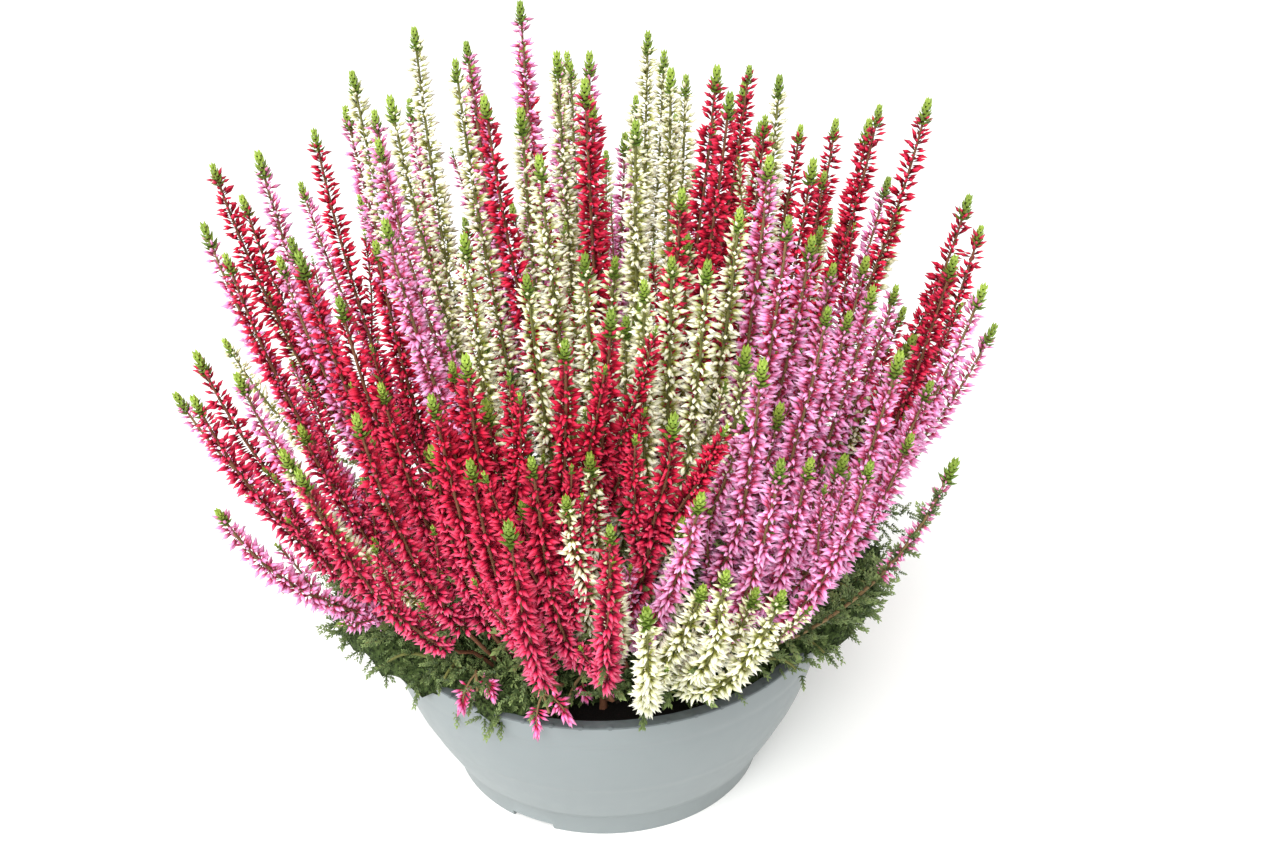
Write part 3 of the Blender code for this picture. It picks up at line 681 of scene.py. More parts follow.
class Nodes:
    """A node tree under construction: adds nodes, wires them and reads their outputs."""

    def __init__(self, tree):
        self.tree = tree

    def add(self, kind, wires=None, **settings):
        """A new node with its settings, and its inputs wired or set by name or number."""
        node = self.tree.nodes.new(kind)
        for name, value in settings.items():
            setattr(node, name, value)
        for name, value in (wires or {}).items():
            socket = node.inputs[name] if isinstance(name, int) else self.find(node.inputs, name)
            if isinstance(value, bpy.types.NodeSocket):
                self.tree.links.new(value, socket)
            else:
                socket.default_value = value
        return node

    @staticmethod
    def find(sockets, name):
        return next(socket for socket in sockets if socket.name == name and socket.enabled)

    def out(self, kind, wires=None, want=None, **settings):
        """The same, but gives one output: the wanted one, or the first that is in use."""
        node = self.add(kind, wires, **settings)
        if want:
            return self.find(node.outputs, want)
        return next(socket for socket in node.outputs if socket.enabled)

    def math(self, operation, first, second=0.0):
        return self.out("ShaderNodeMath", {0: first, 1: second}, operation=operation)


def geometry_tree(name, inputs):
    """A Geometry Nodes tree with named inputs: (label, socket kind, value)."""
    tree = bpy.data.node_groups.new(name, "GeometryNodeTree")
    tree.interface.new_socket("Geometry", in_out="INPUT", socket_type="NodeSocketGeometry")
    for label, kind, value in inputs:
        socket = tree.interface.new_socket(label, in_out="INPUT", socket_type="NodeSocket" + kind)
        if value is not None:
            socket.default_value = value
    tree.interface.new_socket("Geometry", in_out="OUTPUT", socket_type="NodeSocketGeometry")
    nodes = Nodes(tree)
    source = nodes.add("NodeGroupInput")
    return nodes, {socket.name: socket for socket in source.outputs if socket.name}


def finish_tree(nodes, geometry, material):
    """Ends a tree with Realize Instances and Set Material."""
    real = nodes.out("GeometryNodeRealizeInstances", {"Geometry": geometry})
    coated = nodes.out("GeometryNodeSetMaterial", {"Geometry": real, "Material": material})
    nodes.add("NodeGroupOutput", {"Geometry": coated})
    return nodes.tree


def by_chance(nodes, given, low=0.0, high=1.0, shift=0):
    """A number drawn for each copy; shift keeps several draws of one tree apart."""
    seed = nodes.math("ADD", given["Seed"], shift)
    return nodes.out("FunctionNodeRandomValue", {"Min": low, "Max": high, "Seed": seed})


def own_value(nodes, name):
    """A value that the lines carry, by its name."""
    return nodes.out("GeometryNodeInputNamedAttribute", {"Name": name})


def copies_of(nodes, given, points, rotation, size, tint, **wires):
    """Copies of the tree's part on points, each with a tint of its own; ends the tree."""
    part = nodes.out("GeometryNodeObjectInfo", {"Object": given["Part"]}, want="Geometry")
    copies = nodes.out("GeometryNodeInstanceOnPoints",
                       {"Points": points, "Instance": part, "Rotation": rotation, "Scale": size, **wires})
    tinted = nodes.out("GeometryNodeStoreNamedAttribute",
                       {"Geometry": copies, "Name": "tint", "Value": tint},
                       data_type="FLOAT", domain="INSTANCE")
    return finish_tree(nodes, tinted, given["Material"])


def along_stems_tree():
    """Copies of a small part all round and along stems, leaning out by the stems' own values."""
    nodes, given = geometry_tree("parts_along_stems", (
        ("Part", "Object", None), ("Spacing", "Float", 0.001), ("Turn", "Float", 2.39996),
        ("Turn spread", "Float", 0.5), ("Lean spread", "Float", 0.3), ("Size spread", "Float", 0.15),
        ("Hang", "Float", 0.0), ("Seed", "Int", 1), ("Material", "Material", None)))
    curve = nodes.out("GeometryNodeMeshToCurve", {"Mesh": given["Geometry"]})
    points = nodes.out("GeometryNodeResampleCurve", {"Curve": curve, "Length": given["Spacing"]},
                       mode="LENGTH")
    tangent = nodes.out("GeometryNodeInputTangent")
    normal = nodes.out("GeometryNodeInputNormal", want="Normal")
    index = nodes.out("GeometryNodeInputIndex")
    spread = nodes.math("MULTIPLY", by_chance(nodes, given, -1.0, 1.0, 1), given["Turn spread"])
    turn = nodes.math("ADD", nodes.math("MULTIPLY", index, given["Turn"]), spread)
    outward = nodes.out("ShaderNodeVectorRotate", {"Vector": normal, "Axis": tangent, "Angle": turn})
    spread = nodes.math("MULTIPLY", by_chance(nodes, given, -1.0, 1.0, 2), given["Lean spread"])
    lean = nodes.math("ADD", own_value(nodes, "lean"), spread)
    across = nodes.out("ShaderNodeVectorMath", {0: outward, "Scale": nodes.math("SINE", lean)},
                       operation="SCALE")
    ahead = nodes.out("ShaderNodeVectorMath", {0: tangent, "Scale": nodes.math("COSINE", lean)},
                      operation="SCALE")
    way = nodes.out("ShaderNodeVectorMath", {0: across, 1: ahead}, operation="ADD")
    drop = nodes.out("ShaderNodeCombineXYZ", {"Z": nodes.math("MULTIPLY", given["Hang"], -1.0)})
    way = nodes.out("ShaderNodeVectorMath", {0: way, 1: drop}, operation="ADD")
    rotation = nodes.out("FunctionNodeAlignRotationToVector", {"Vector": way}, axis="Z")
    spread = nodes.math("MULTIPLY", by_chance(nodes, given, -1.0, 1.0, 3), given["Size spread"])
    size = nodes.math("MULTIPLY", own_value(nodes, "size"), nodes.math("ADD", spread, 1.0))
    kept = nodes.math("LESS_THAN", by_chance(nodes, given, shift=4), own_value(nodes, "crowd"))
    tint = by_chance(nodes, given, shift=5)
    return copies_of(nodes, given, points, rotation, size, tint, Selection=kept)


def stem_ends_tree():
    """A copy of a part on the end of each stem, pointing on along it."""
    nodes, given = geometry_tree("parts_on_stem_ends", (
        ("Part", "Object", None), ("Size low", "Float", 0.8), ("Size high", "Float", 1.15),
        ("Seed", "Int", 1), ("Material", "Material", None)))
    curve = nodes.out("GeometryNodeMeshToCurve", {"Mesh": given["Geometry"]})
    tangent = nodes.out("GeometryNodeInputTangent")
    last = nodes.out("GeometryNodeCurveEndpointSelection", {"Start Size": 0, "End Size": 1})
    size = by_chance(nodes, given, given["Size low"], given["Size high"])
    turn = by_chance(nodes, given, 0.0, 6.283)
    rotation = nodes.out("FunctionNodeAlignRotationToVector", {"Vector": tangent}, axis="Z")
    spin = nodes.out("FunctionNodeAxisAngleToRotation", {"Axis": (0.0, 0.0, 1.0), "Angle": turn})
    rotation = nodes.out("FunctionNodeRotateRotation", {"Rotation": rotation, "Rotate By": spin},
                         rotation_space="LOCAL")
    return copies_of(nodes, given, curve, rotation, size, by_chance(nodes, given), Selection=last)


def stem_tubes_tree():
    """Round stems along lines, as thick as the lines' own values say."""
    nodes, given = geometry_tree("stem_tubes", (("Sides", "Int", 5), ("Material", "Material", None)))
    curve = nodes.out("GeometryNodeMeshToCurve", {"Mesh": given["Geometry"]})
    ring = nodes.out("GeometryNodeCurvePrimitiveCircle", {"Resolution": given["Sides"], "Radius": 1.0})
    tube = nodes.out("GeometryNodeCurveToMesh", {"Curve": curve, "Profile Curve": ring,
                                                 "Scale": own_value(nodes, "thick"), "Fill Caps": True})
    smooth = nodes.out("GeometryNodeSetShadeSmooth", {"Geometry": tube})
    return finish_tree(nodes, smooth, given["Material"])


def strewn(nodes, given):
    """Points strewn over the tree's surface, as the node that places them."""
    return nodes.add("GeometryNodeDistributePointsOnFaces",
                     {"Mesh": given["Geometry"], "Density": given["Density"], "Seed": given["Seed"]})


def any_way(nodes, given, low, high):
    """A direction drawn for each copy between two corners."""
    return nodes.out("FunctionNodeRandomValue", {0: low, 1: high, "Seed": given["Seed"]},
                     data_type="FLOAT_VECTOR")


def moss_tree():
    """Shoots that stand all over a surface, each leaning and sized by chance."""
    nodes, given = geometry_tree("shoots_on_cushion", (
        ("Part", "Object", None), ("Density", "Float", 30000.0), ("Size low", "Float", 0.65),
        ("Size high", "Float", 1.35), ("Seed", "Int", 3), ("Material", "Material", None)))
    spread = strewn(nodes, given)
    points, normal = nodes.find(spread.outputs, "Points"), nodes.find(spread.outputs, "Normal")
    size = by_chance(nodes, given, given["Size low"], given["Size high"])
    stray = any_way(nodes, given, (-0.8, -0.8, -0.35), (0.8, 0.8, 0.75))
    way = nodes.out("ShaderNodeVectorMath", {0: normal, 1: stray}, operation="ADD")
    rotation = nodes.out("FunctionNodeAlignRotationToVector", {"Vector": way}, axis="Z")
    return copies_of(nodes, given, points, rotation, size, by_chance(nodes, given))


def crumb_tree():
    """Crumbs strewn over a surface, each turned and sized by chance."""
    nodes, given = geometry_tree("crumbs_on_soil", (
        ("Part", "Object", None), ("Density", "Float", 20000.0), ("Size low", "Float", 0.4),
        ("Size high", "Float", 1.5), ("Seed", "Int", 3), ("Material", "Material", None)))
    points = nodes.find(strewn(nodes, given).outputs, "Points")
    size = by_chance(nodes, given, given["Size low"], given["Size high"])
    turn = any_way(nodes, given, (0.0, 0.0, 0.0), (6.3, 6.3, 6.3))
    turn = nodes.out("FunctionNodeEulerToRotation", {"Euler": turn})
    return copies_of(nodes, given, points, turn, size, by_chance(nodes, given))


def evaluated_mesh(item):
    """A piece's mesh as its modifiers leave it."""
    graph = bpy.context.evaluated_depsgraph_get()
    return bpy.data.meshes.new_from_object(item.evaluated_get(graph), depsgraph=graph)


def make_piece(name, mesh, tree=None, **values):
    """A piece of the scene, grown by a tree where one is given, as a plain mesh."""
    item = bpy.data.objects.new(name, mesh)
    bpy.context.scene.collection.objects.link(item)
    if tree:
        grow = item.modifiers.new("grow", "NODES")
        grow.node_group = tree
        labels = {socket.name.lower(): socket.identifier for socket in tree.interface.items_tree
                  if socket.in_out == "INPUT"}
        for label, value in values.items():
            grow[labels[label.replace("_", " ")]] = value
        bpy.context.view_layer.update()
        mesh = evaluated_mesh(item)
        item.modifiers.clear()
        item.data = mesh
        mesh.name = name
    return item


def line_mesh(name, lines):
    """Lines as a mesh of edges: each is (points, values), the values by attribute name."""
    corners = np.concatenate([points for points, values in lines])
    edges = []
    first = 0
    for points, values in lines:
        edges += [(first + k, first + k + 1) for k in range(len(points) - 1)]
        first += len(points)
    mesh = bpy.data.meshes.new(name)
    mesh.from_pydata(corners.tolist(), edges, [])
    for label in lines[0][1]:
        attribute = mesh.attributes.new(label, "FLOAT", "POINT")
        attribute.data.foreach_set("value", np.concatenate([values[label] for points, values in lines]))
    return mesh


def stretch(line, begin, end, steps=LINE_STEPS):
    """Points on part of a line, from one share of its length to another, and those shares."""
    run = np.linalg.norm(np.diff(line, axis=0), axis=1)
    share = np.concatenate(((0.0,), np.cumsum(run))) / run.sum()
    wanted = np.linspace(begin, end, steps)
    points = np.array([np.interp(wanted, share, line[:, k]) for k in range(3)]).T
    return points, wanted


def length_of(line):
    """A line's whole length."""
    return np.linalg.norm(np.diff(line, axis=0), axis=1).sum()


def lumps(draw, count, fineness):
    """A smooth uneven height over the ground, from waves drawn by chance."""
    waves = draw.normal(size=(count, 2)) * fineness
    starts = draw.uniform(0, 6.3, count)

    def height(across, back):
        return sum(math.sin(across * a + back * b + start)
                   for (a, b), start in zip(waves, starts)) / count
    return height


def solid_of(name, corners, faces, along=None, smooth=True):
    """A mesh of corners and faces, with each corner's share of the way along it if given."""
    mesh = bpy.data.meshes.new(name)
    mesh.from_pydata([tuple(corner) for corner in corners], [], faces)
    if smooth:
        mesh.shade_smooth()
    if along is not None:
        attribute = mesh.attributes.new("along", "FLOAT", "POINT")
        attribute.data.foreach_set("value", along)
    mesh.update()
    return mesh


def floret_mesh():
    """A closed floret on its stalk: it swells halfway and runs to a point."""
    corners = [(0.0, 0.0, FLORET_BASE)]
    for k in range(FLORET_SIDES):
        turn = 2 * math.pi / FLORET_SIDES * k
        corners.append((FLORET_RADIUS * math.cos(turn), FLORET_RADIUS * math.sin(turn), FLORET_BELLY))
    corners.append((0.0, 0.0, FLORET_LENGTH))
    belly = (FLORET_BELLY - FLORET_BASE) / (FLORET_LENGTH - FLORET_BASE)
    faces = [(0, 1 + (k + 1) % FLORET_SIDES, 1 + k) for k in range(FLORET_SIDES)]
    faces += [(1 + k, 1 + (k + 1) % FLORET_SIDES, FLORET_SIDES + 1) for k in range(FLORET_SIDES)]
    return solid_of("floret", corners, faces, [0.0] + [belly] * FLORET_SIDES + [1.0])


def add_leaf(corners, faces, along, root, way, side, length, width, share=0.0):
    """One scale leaf: a keeled blade with four faces."""
    up = np.cross(side, way)
    first = len(corners)
    corners += [root - side * width / 2, root + side * width / 2,
                root + way * length * 0.35 + up * width * 0.42, root + way * length]
    faces += [(first, first + 1, first + 2), (first + 1, first + 3, first + 2),
              (first + 3, first, first + 2), (first + 1, first, first + 3)]
    along += [share, share, share + 0.15, share + 0.35]


def leafy_mesh(name, length, ranks, per_rank, leaf, width, open_angle, close_angle, stalk):
    """A small shoot: a three-sided stalk with ranks of scale leaves, more closed towards its end."""
    corners, faces, along = [], [], []
    for k in range(3):
        turn = 2 * math.pi * k / 3
        corners.append(np.array((stalk * math.cos(turn), stalk * math.sin(turn), 0.0)))
        along.append(0.0)
    corners.append(np.array((0.0, 0.0, length * 0.9)))
    along.append(0.6)
    faces += [(2, 1, 0), (0, 1, 3), (1, 2, 3), (2, 0, 3)]
    for rank in range(ranks):
        share = rank / (ranks - 1)
        lean = open_angle + (close_angle - open_angle) * share
        grown = leaf * (1.0 - 0.35 * share)
        for k in range(per_rank):
            turn = 2 * math.pi * k / per_rank + math.pi / per_rank * rank
            out = np.array((math.cos(turn), math.sin(turn), 0.0))
            side = np.array((-math.sin(turn), math.cos(turn), 0.0))
            way = out * math.sin(lean) + np.array((0.0, 0.0, math.cos(lean)))
            root = out * stalk * 0.4 + np.array((0.0, 0.0, length * 0.92 * share))
            add_leaf(corners, faces, along, root, way, side, grown, width, 0.65 * share)
    return solid_of(name, corners, faces, along, smooth=False)


def scale_leaf_mesh():
    """A single scale leaf, which points up."""
    corners, faces, along = [], [], []
    ahead, side = np.array((0.0, 0.0, 1.0)), np.array((1.0, 0.0, 0.0))
    add_leaf(corners, faces, along, ahead * 0.0003, ahead, side, SCALE_LENGTH, SCALE_WIDTH)
    return solid_of("scale_leaf", corners, faces, along, smooth=False)


def crumb_mesh():
    """A rough crumb of soil."""
    shape = bmesh.new()
    bmesh.ops.create_icosphere(shape, subdivisions=1, radius=CRUMB_RADIUS)
    draw = np.random.default_rng(5)
    for corner in shape.verts:
        corner.co *= float(draw.uniform(0.6, 1.25))
    mesh = bpy.data.meshes.new("crumb")
    shape.to_mesh(mesh)
    shape.free()
    return mesh


class Finish(Nodes):
    """A material under construction, around its one main shader."""

    def __init__(self, name, roughness, specular=0.5):
        self.material = bpy.data.materials.new(name)
        self.material.use_nodes = True
        super().__init__(self.material.node_tree)
        self.shader = self.tree.nodes["Principled BSDF"]
        self.shader.inputs["Roughness"].default_value = roughness
        self.shader.inputs["Specular IOR Level"].default_value = specular
        self.place = self.out("ShaderNodeTexCoord", want="Object")

    def noise(self, scale, detail=2.0):
        return self.out("ShaderNodeTexNoise", {"Vector": self.place, "Scale": scale, "Detail": detail})

    def value(self, name):
        return self.out("ShaderNodeAttribute", want="Fac", attribute_name=name)

    def ramp(self, factor, stops):
        """A colour ramp through stops of (place, colour)."""
        node = self.add("ShaderNodeValToRGB", {"Fac": factor})
        for number, (place, colour) in enumerate(stops):
            stop = node.color_ramp.elements[number] if number < 2 else node.color_ramp.elements.new(place)
            stop.position = place
            stop.color = (*colour, 1.0)
        return self.find(node.outputs, "Color")

    def mix(self, factor, first, second, blend="MIX"):
        def full(colour):
            return colour if isinstance(colour, bpy.types.NodeSocket) else (*colour, 1.0)
        return self.out("ShaderNodeMix", {0: factor, 6: full(first), 7: full(second)},
                        want="Result", data_type="RGBA", blend_type=blend)

    def spread(self, factor, low, high):
        return self.out("ShaderNodeMapRange", {"Value": factor, "To Min": low, "To Max": high})

    def scaled(self, colour, factor):
        """A colour made lighter or darker by a factor."""
        return self.out("ShaderNodeVectorMath", {0: colour, "Scale": factor}, operation="SCALE")

    def colour(self, socket):
        self.tree.links.new(socket, self.shader.inputs["Base Color"])

    def rough(self, socket):
        self.tree.links.new(socket, self.shader.inputs["Roughness"])

    def bump(self, height, strength, distance):
        normal = self.out("ShaderNodeBump", {"Height": height, "Strength": strength, "Distance": distance})
        self.tree.links.new(normal, self.shader.inputs["Normal"])


def floret_finish(colour):
    """Florets: darker at the foot, clear in the middle and paler at the point.

    Young ones near a spike's tip are duller, and crimson ones low down are pinker.
    """
    low, middle, high = FLORETS[colour]
    made = Finish(colour + "_floret", 0.6, specular=0.16)
    shade = made.ramp(made.value("along"), ((0.0, low), (0.34, low), (0.56, middle), (0.95, high)))
    tint = made.value("tint")
    shade = made.scaled(shade, made.spread(tint, 0.68, 1.25))
    streak = made.spread(made.noise(1400.0), 0.88, 1.12)
    shade = made.scaled(shade, streak)
    if colour == "crimson":
        height = made.out("ShaderNodeSeparateXYZ", {"Vector": made.place}, want="Z")
        low_down = made.out("ShaderNodeMapRange", {"Value": height, "From Min": 0.26, "From Max": 0.12,
                                                   "To Min": 0.0, "To Max": 0.75})
        lift = made.mix(1.0, shade, (1.25, 6.0, 4.0), "MULTIPLY")
        shade = made.mix(low_down, shade, lift)
    top = made.out("ShaderNodeMapRange", {"Value": made.value("bloom"), "From Min": 0.40, "From Max": 1.0,
                                          "To Min": 0.0, "To Max": 0.75})
    made.colour(made.mix(top, shade, YOUNG[colour]))
    made.bump(made.noise(2600.0), 0.25, 0.0002)
    return made.material


def leaf_finish(name, dark, light, roughness=0.6):
    """Scale leaves: dark at the foot, light at the end, each a little different."""
    made = Finish(name, roughness, specular=0.35)
    blend = made.math("MULTIPLY", made.value("along"), made.spread(made.value("tint"), 0.55, 1.25))
    shade = made.ramp(blend, ((0.0, dark), (0.9, light)))
    broad = made.spread(made.noise(60.0), 0.72, 1.3)
    shade = made.scaled(shade, broad)
    made.colour(shade)
    made.bump(made.noise(3000.0), 0.2, 0.0002)
    return made.material


def shades(colour, *factors):
    """Lighter and darker tones of one colour."""
    return [tuple(factor * part for part in colour) for factor in factors]


def bark_finish(name, colour):
    """Thin woody stems: one tone, darker and lighter with the fine grain of bark."""
    made = Finish(name, 0.75, specular=0.25)
    grain = made.noise(700.0, 4.0)
    made.colour(made.mix(grain, *shades(colour, 0.45, 1.7)))
    made.bump(grain, 0.5, 0.0003)
    return made.material


def cushion_finish():
    """The depth of the foliage between its shoots: painted shade, dark with lighter leaf-sized specks."""
    made = Finish("leaf_mass", 0.8, specular=0.1)
    specks = made.spread(made.noise(520.0, 3.0), -0.9, 1.7)
    made.colour(made.mix(specks, PAINTED_DEPTH_SHADE, DEPTH_LIGHT))
    made.bump(specks, 1.0, 0.0014)
    return made.material


def pot_finish():
    """Pale grey moulded plastic with faint clouding and fine grain."""
    made = Finish("pot_plastic", 0.42, specular=0.45)
    cloud = made.spread(made.noise(9.0, 4.0), 0.0, 1.0)
    made.colour(made.mix(cloud, *shades(POT_GREY, 0.93, 1.07)))
    made.rough(made.spread(made.noise(130.0, 3.0), 0.36, 0.50))
    made.bump(made.noise(1500.0), 0.06, 0.0002)
    return made.material


def shaded_lip_finish():
    """The same plastic with painted shade: darker and mottled along the lip, where the plant overhangs it.
    """
    made = Finish("lip_plastic", 0.5, specular=0.4)
    lip_mottle = made.noise(220.0, 3.0)
    made.colour(made.mix(lip_mottle, *shades(SHADED_LIP_GREY, 0.75, 1.5)))
    made.bump(made.noise(1500.0), 0.10, 0.0002)
    return made.material


def peat_finish():
    """Dark damp peat with a few paler fibres."""
    made = Finish("peat", 0.92, specular=0.2)
    shade = made.ramp(made.value("tint"), ((0.0, PEAT_DARK), (0.75, PEAT), (1.0, PEAT_FIBRE)))
    made.colour(made.scaled(shade, made.spread(made.noise(900.0, 3.0), 0.6, 1.5)))
    made.bump(made.noise(1600.0, 3.0), 0.8, 0.0005)
    return made.material


def floor_finish():
    """A pale floor that glows faintly, which keeps the shadow on it light."""
    made = Finish("pale_floor", 0.6, specular=0.2)
    made.colour(made.mix(made.spread(made.noise(3.0), 0.0, 1.0), *FLOOR_TONES))
    made.shader.inputs["Emission Color"].default_value = (1.0, 1.0, 0.98, 1.0)
    made.shader.inputs["Emission Strength"].default_value = FLOOR_GLOW
    return made.material


def is_slender(each):
    """Whether a stem is the low thin one on the right, with flowers only near its end."""
    tip = each["line"][-1]
    return SLENDER[0] in each["name"] and tip[0] > SLENDER[1] and tip[1] < SLENDER[2]


def flowers_from(each):
    """The share of a stem's length from which florets stand: further up on the right."""
    if is_slender(each):
        return SLENDER_FROM
    points, share = stretch(each["line"], 0.0, 1.0)
    bare = BARE_RIGHT * np.clip(points[:, 0] / BARE_WIDTH, 0, 1)
    rise = SOIL_TOP + FLOWER_RISE + (0 if "white" in each["name"] else bare)
    clear = share[points[:, 2] > rise]
    return max(FLOWERS_FROM * each["begin"], clear[0])


def spike_values(each, low, high):
    """The line that a spike's florets stand on, with their size, lean and number."""
    points, share = stretch(each["line"], low, high)
    below_tip = (1 - share) * length_of(each["line"])
    grown = np.clip(below_tip / YOUNG_LENGTH, 0, 1)
    lean = np.radians(YOUNG_LEAN + (FULL_LEAN - YOUNG_LEAN) * grown ** LEAN_CURVE)
    size = YOUNG_SIZE + (1.0 - YOUNG_SIZE) * grown ** SIZE_CURVE
    crowd = YOUNG_CROWD + (1.0 - YOUNG_CROWD) * grown
    if is_slender(each):
        size, crowd, grown = SLENDER_SIZE * size, SLENDER_CROWD * crowd, SLENDER_GROWN * grown
    return points, {"size": size, "lean": lean, "crowd": crowd, "bloom": 1 - grown}


def stands_full(each):
    """Whether a spike is one of those in front that full side shoots stand beside."""
    colour, aside, behind, high = FULL_FRONT
    tip = each["line"][-1]
    return colour in each["name"] and abs(tip[0]) < aside and tip[1] < behind and tip[2] > high


def side_stems(stems, seed):
    """Flowering side shoots that leave the lower part of the spikes and then rise with them."""
    draw = np.random.default_rng(seed)
    found = []
    for each in stems:
        if is_slender(each):
            continue
        line = each["line"]
        full = stands_full(each)
        count = FULL_SHOOTS if full else SIDE_SHOOTS[each["name"].split("_")[1]]
        first = draw.uniform(0, 2 * math.pi)
        for number in range(count):
            share = each["begin"] + draw.uniform(*(FULL_FROM if full else SIDE_FROM))
            reach = draw.uniform(*(FULL_LENGTH if full else SIDE_LENGTH))
            last = min(SIDE_END, share + reach / length_of(line))
            points, _ = stretch(line, share, last, SIDE_POINTS)
            start, end = points[0], points[-1]
            ahead = (end - start) / np.linalg.norm(end - start)
            side = np.cross(ahead, OFF_EVERY_STEM)
            side /= np.linalg.norm(side)
            turn = first + SIDE_TURN * number
            out = math.cos(turn) * side + math.sin(turn) * np.cross(ahead, side)
            off = SIDE_OUT * reach
            if full:
                out = np.array(((-1.0) ** number, FULL_SWAY * math.sin(turn), 0.0))
                off = FULL_ASIDE * draw.uniform(0.8, 1.2)
            elif end[:2] @ out[:2] > 0 and np.hypot(*end[:2]) > SIDE_WIDEST:
                out = -out
            bent = arch(start, (start + end) / 2 + SIDE_BOW * off * out, end + off * out)
            if bent[-1][2] < SIDE_LOWEST:
                continue
            found.append({"name": each["name"], "line": bent, "full": full,
                          "begin": FULL_BEGIN if full else SIDE_BEGIN})
    return found


def side_values(each):
    """The line that a side shoot's florets stand on: smaller and younger than the spike's."""
    points, share = stretch(each["line"], each["begin"], 0.97, SIDE_POINTS)
    ones = np.ones(len(share))
    lean = np.radians(74 - 22 * share)
    if each["full"]:
        return points, {"size": 0.98 - 0.32 * share ** 2, "lean": lean, "crowd": ones,
                        "bloom": 0.7 * share ** 3}
    return points, {"size": 0.90 - 0.30 * share, "lean": lean, "crowd": 0.78 * ones,
                    "bloom": 0.10 + 0.45 * share}


def tip_share(each, below):
    """The share of a stem's length that lies below a distance from its tip."""
    return 1 - below / length_of(each["line"])


def split_sides(names):
    """Sprays in two parts, so that a piece stays small: by their number in the row."""
    half = (len(names) + 1) // 2
    return {"one": names[:half], "two": names[half:]}


def ride_on(item, nodes):
    """Says which body a piece rides on and hides the nodes that it replaces."""
    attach(item, "root")
    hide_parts(*nodes)


def make_flowers(plant, parts, finishes, trees):
    """All florets, stems, tip tufts and scale leaves, by colour."""
    seed = 20
    shoots = {colour: [] for colour in SEEN_TIPS}
    for colour in SEEN_TIPS:
        names = [name for name in plant if name.startswith("spray_" + colour)]
        for side, group in split_sides(names).items():
            stems = [each for name in group for each in plant[name]]
            lines = [spike_values(each, flowers_from(each), tip_share(each, BARE_TOP))
                     for each in stems]
            shoots[colour] += side_stems(stems, seed + 60)
            lines += [side_values(each) for each in shoots[colour] if each["name"] in group]
            seed += 1
            florets = make_piece(f"{colour}_florets_{side}", line_mesh("spikes", lines), trees["along"],
                                 part=parts["floret"], spacing=FLORET_SPACING, turn_spread=0.9,
                                 lean_spread=0.46, size_spread=0.2, hang=0.0, seed=seed,
                                 material=finishes[colour])
            ride_on(florets, group)
        stems = [each for name in names for each in plant[name]]
        make_stems(colour + "_stems", stems, names, finishes["bark_" + colour], trees,
                   shoots[colour])
    names = [name for name in plant if name.startswith("spray")]
    stems = [each for name in names for each in plant[name]]
    make_scales(stems, names, parts, finishes, trees)
    make_tufts(stems, names, [each for own in shoots.values() for each in own], parts, finishes, trees)


def make_scales(stems, names, parts, finishes, trees):
    """Scale leaves along the flowering part of every stem."""
    lines = []
    for each in stems:
        points, values = spike_values(each, each["begin"] * 0.85, tip_share(each, STEM_TOP))
        values["lean"] = np.full(len(points), math.radians(SCALE_LEAN))
        values["size"] = np.full(len(points), 0.95)
        lines.append((points, values))
    leaves = make_piece("scale_leaves", line_mesh("scaly", lines), trees["along"],
                        part=parts["scale_leaf"], spacing=SCALE_SPACING, turn_spread=0.5,
                        lean_spread=0.35, size_spread=0.3, seed=31, material=finishes["scale"])
    ride_on(leaves, names)


def make_tufts(stems, names, shoots, parts, finishes, trees):
    """The green tuft on every spike, and a smaller one on every side shoot."""
    ends = [(stretch(each["line"], 0.9, tip_share(each, TUFT_LENGTH))[0], {}) for each in stems]
    tufts = make_piece("tip_tufts", line_mesh("ends", ends), trees["ends"], part=parts["tuft"],
                       seed=32, material=finishes["tuft"])
    ends = [(each["line"][-4:], {}) for each in shoots]
    buds = make_piece("side_tufts", line_mesh("side_ends", ends), trees["ends"], part=parts["bud"],
                      seed=33, material=finishes["tuft"])
    ride_on(buds, names)
    ride_on(tufts, names)


def make_stems(name, stems, nodes, finish, trees, shoots=()):
    """Round woody stems, with the feet that they fork from."""
    lines = []
    for each in shoots:
        points, share = stretch(each["line"], 0.0, 1.0, 5)
        lines.append((points, {"thick": SHOOT_STEM + (SHOOT_STEM_END - SHOOT_STEM) * share}))
    for each in stems:
        points, share = stretch(each["line"], 0.0, tip_share(each, STEM_TOP))
        lines.append((points, {"thick": STEM_LOW + (STEM_HIGH - STEM_LOW) * share}))
    feet = {each["name"]: each["line"][0] * (1, 1, 0) for each in stems}
    for name_of, foot in feet.items():
        count = sum(each["name"] == name_of for each in stems)
        low = foot + (SOIL_TOP - STEM_SUNK) * UP
        high = foot + (SOIL_TOP + FORK_LOW + FORK_STEP * (count - 1)) * UP
        points = np.linspace(low, high, len(STEM_FOOT))
        lines.append((points, {"thick": np.array(STEM_FOOT)}))
    item = make_piece(name, line_mesh("lines", lines), trees["tubes"], sides=STEM_SIDES,
                      material=finish)
    ride_on(item, nodes)


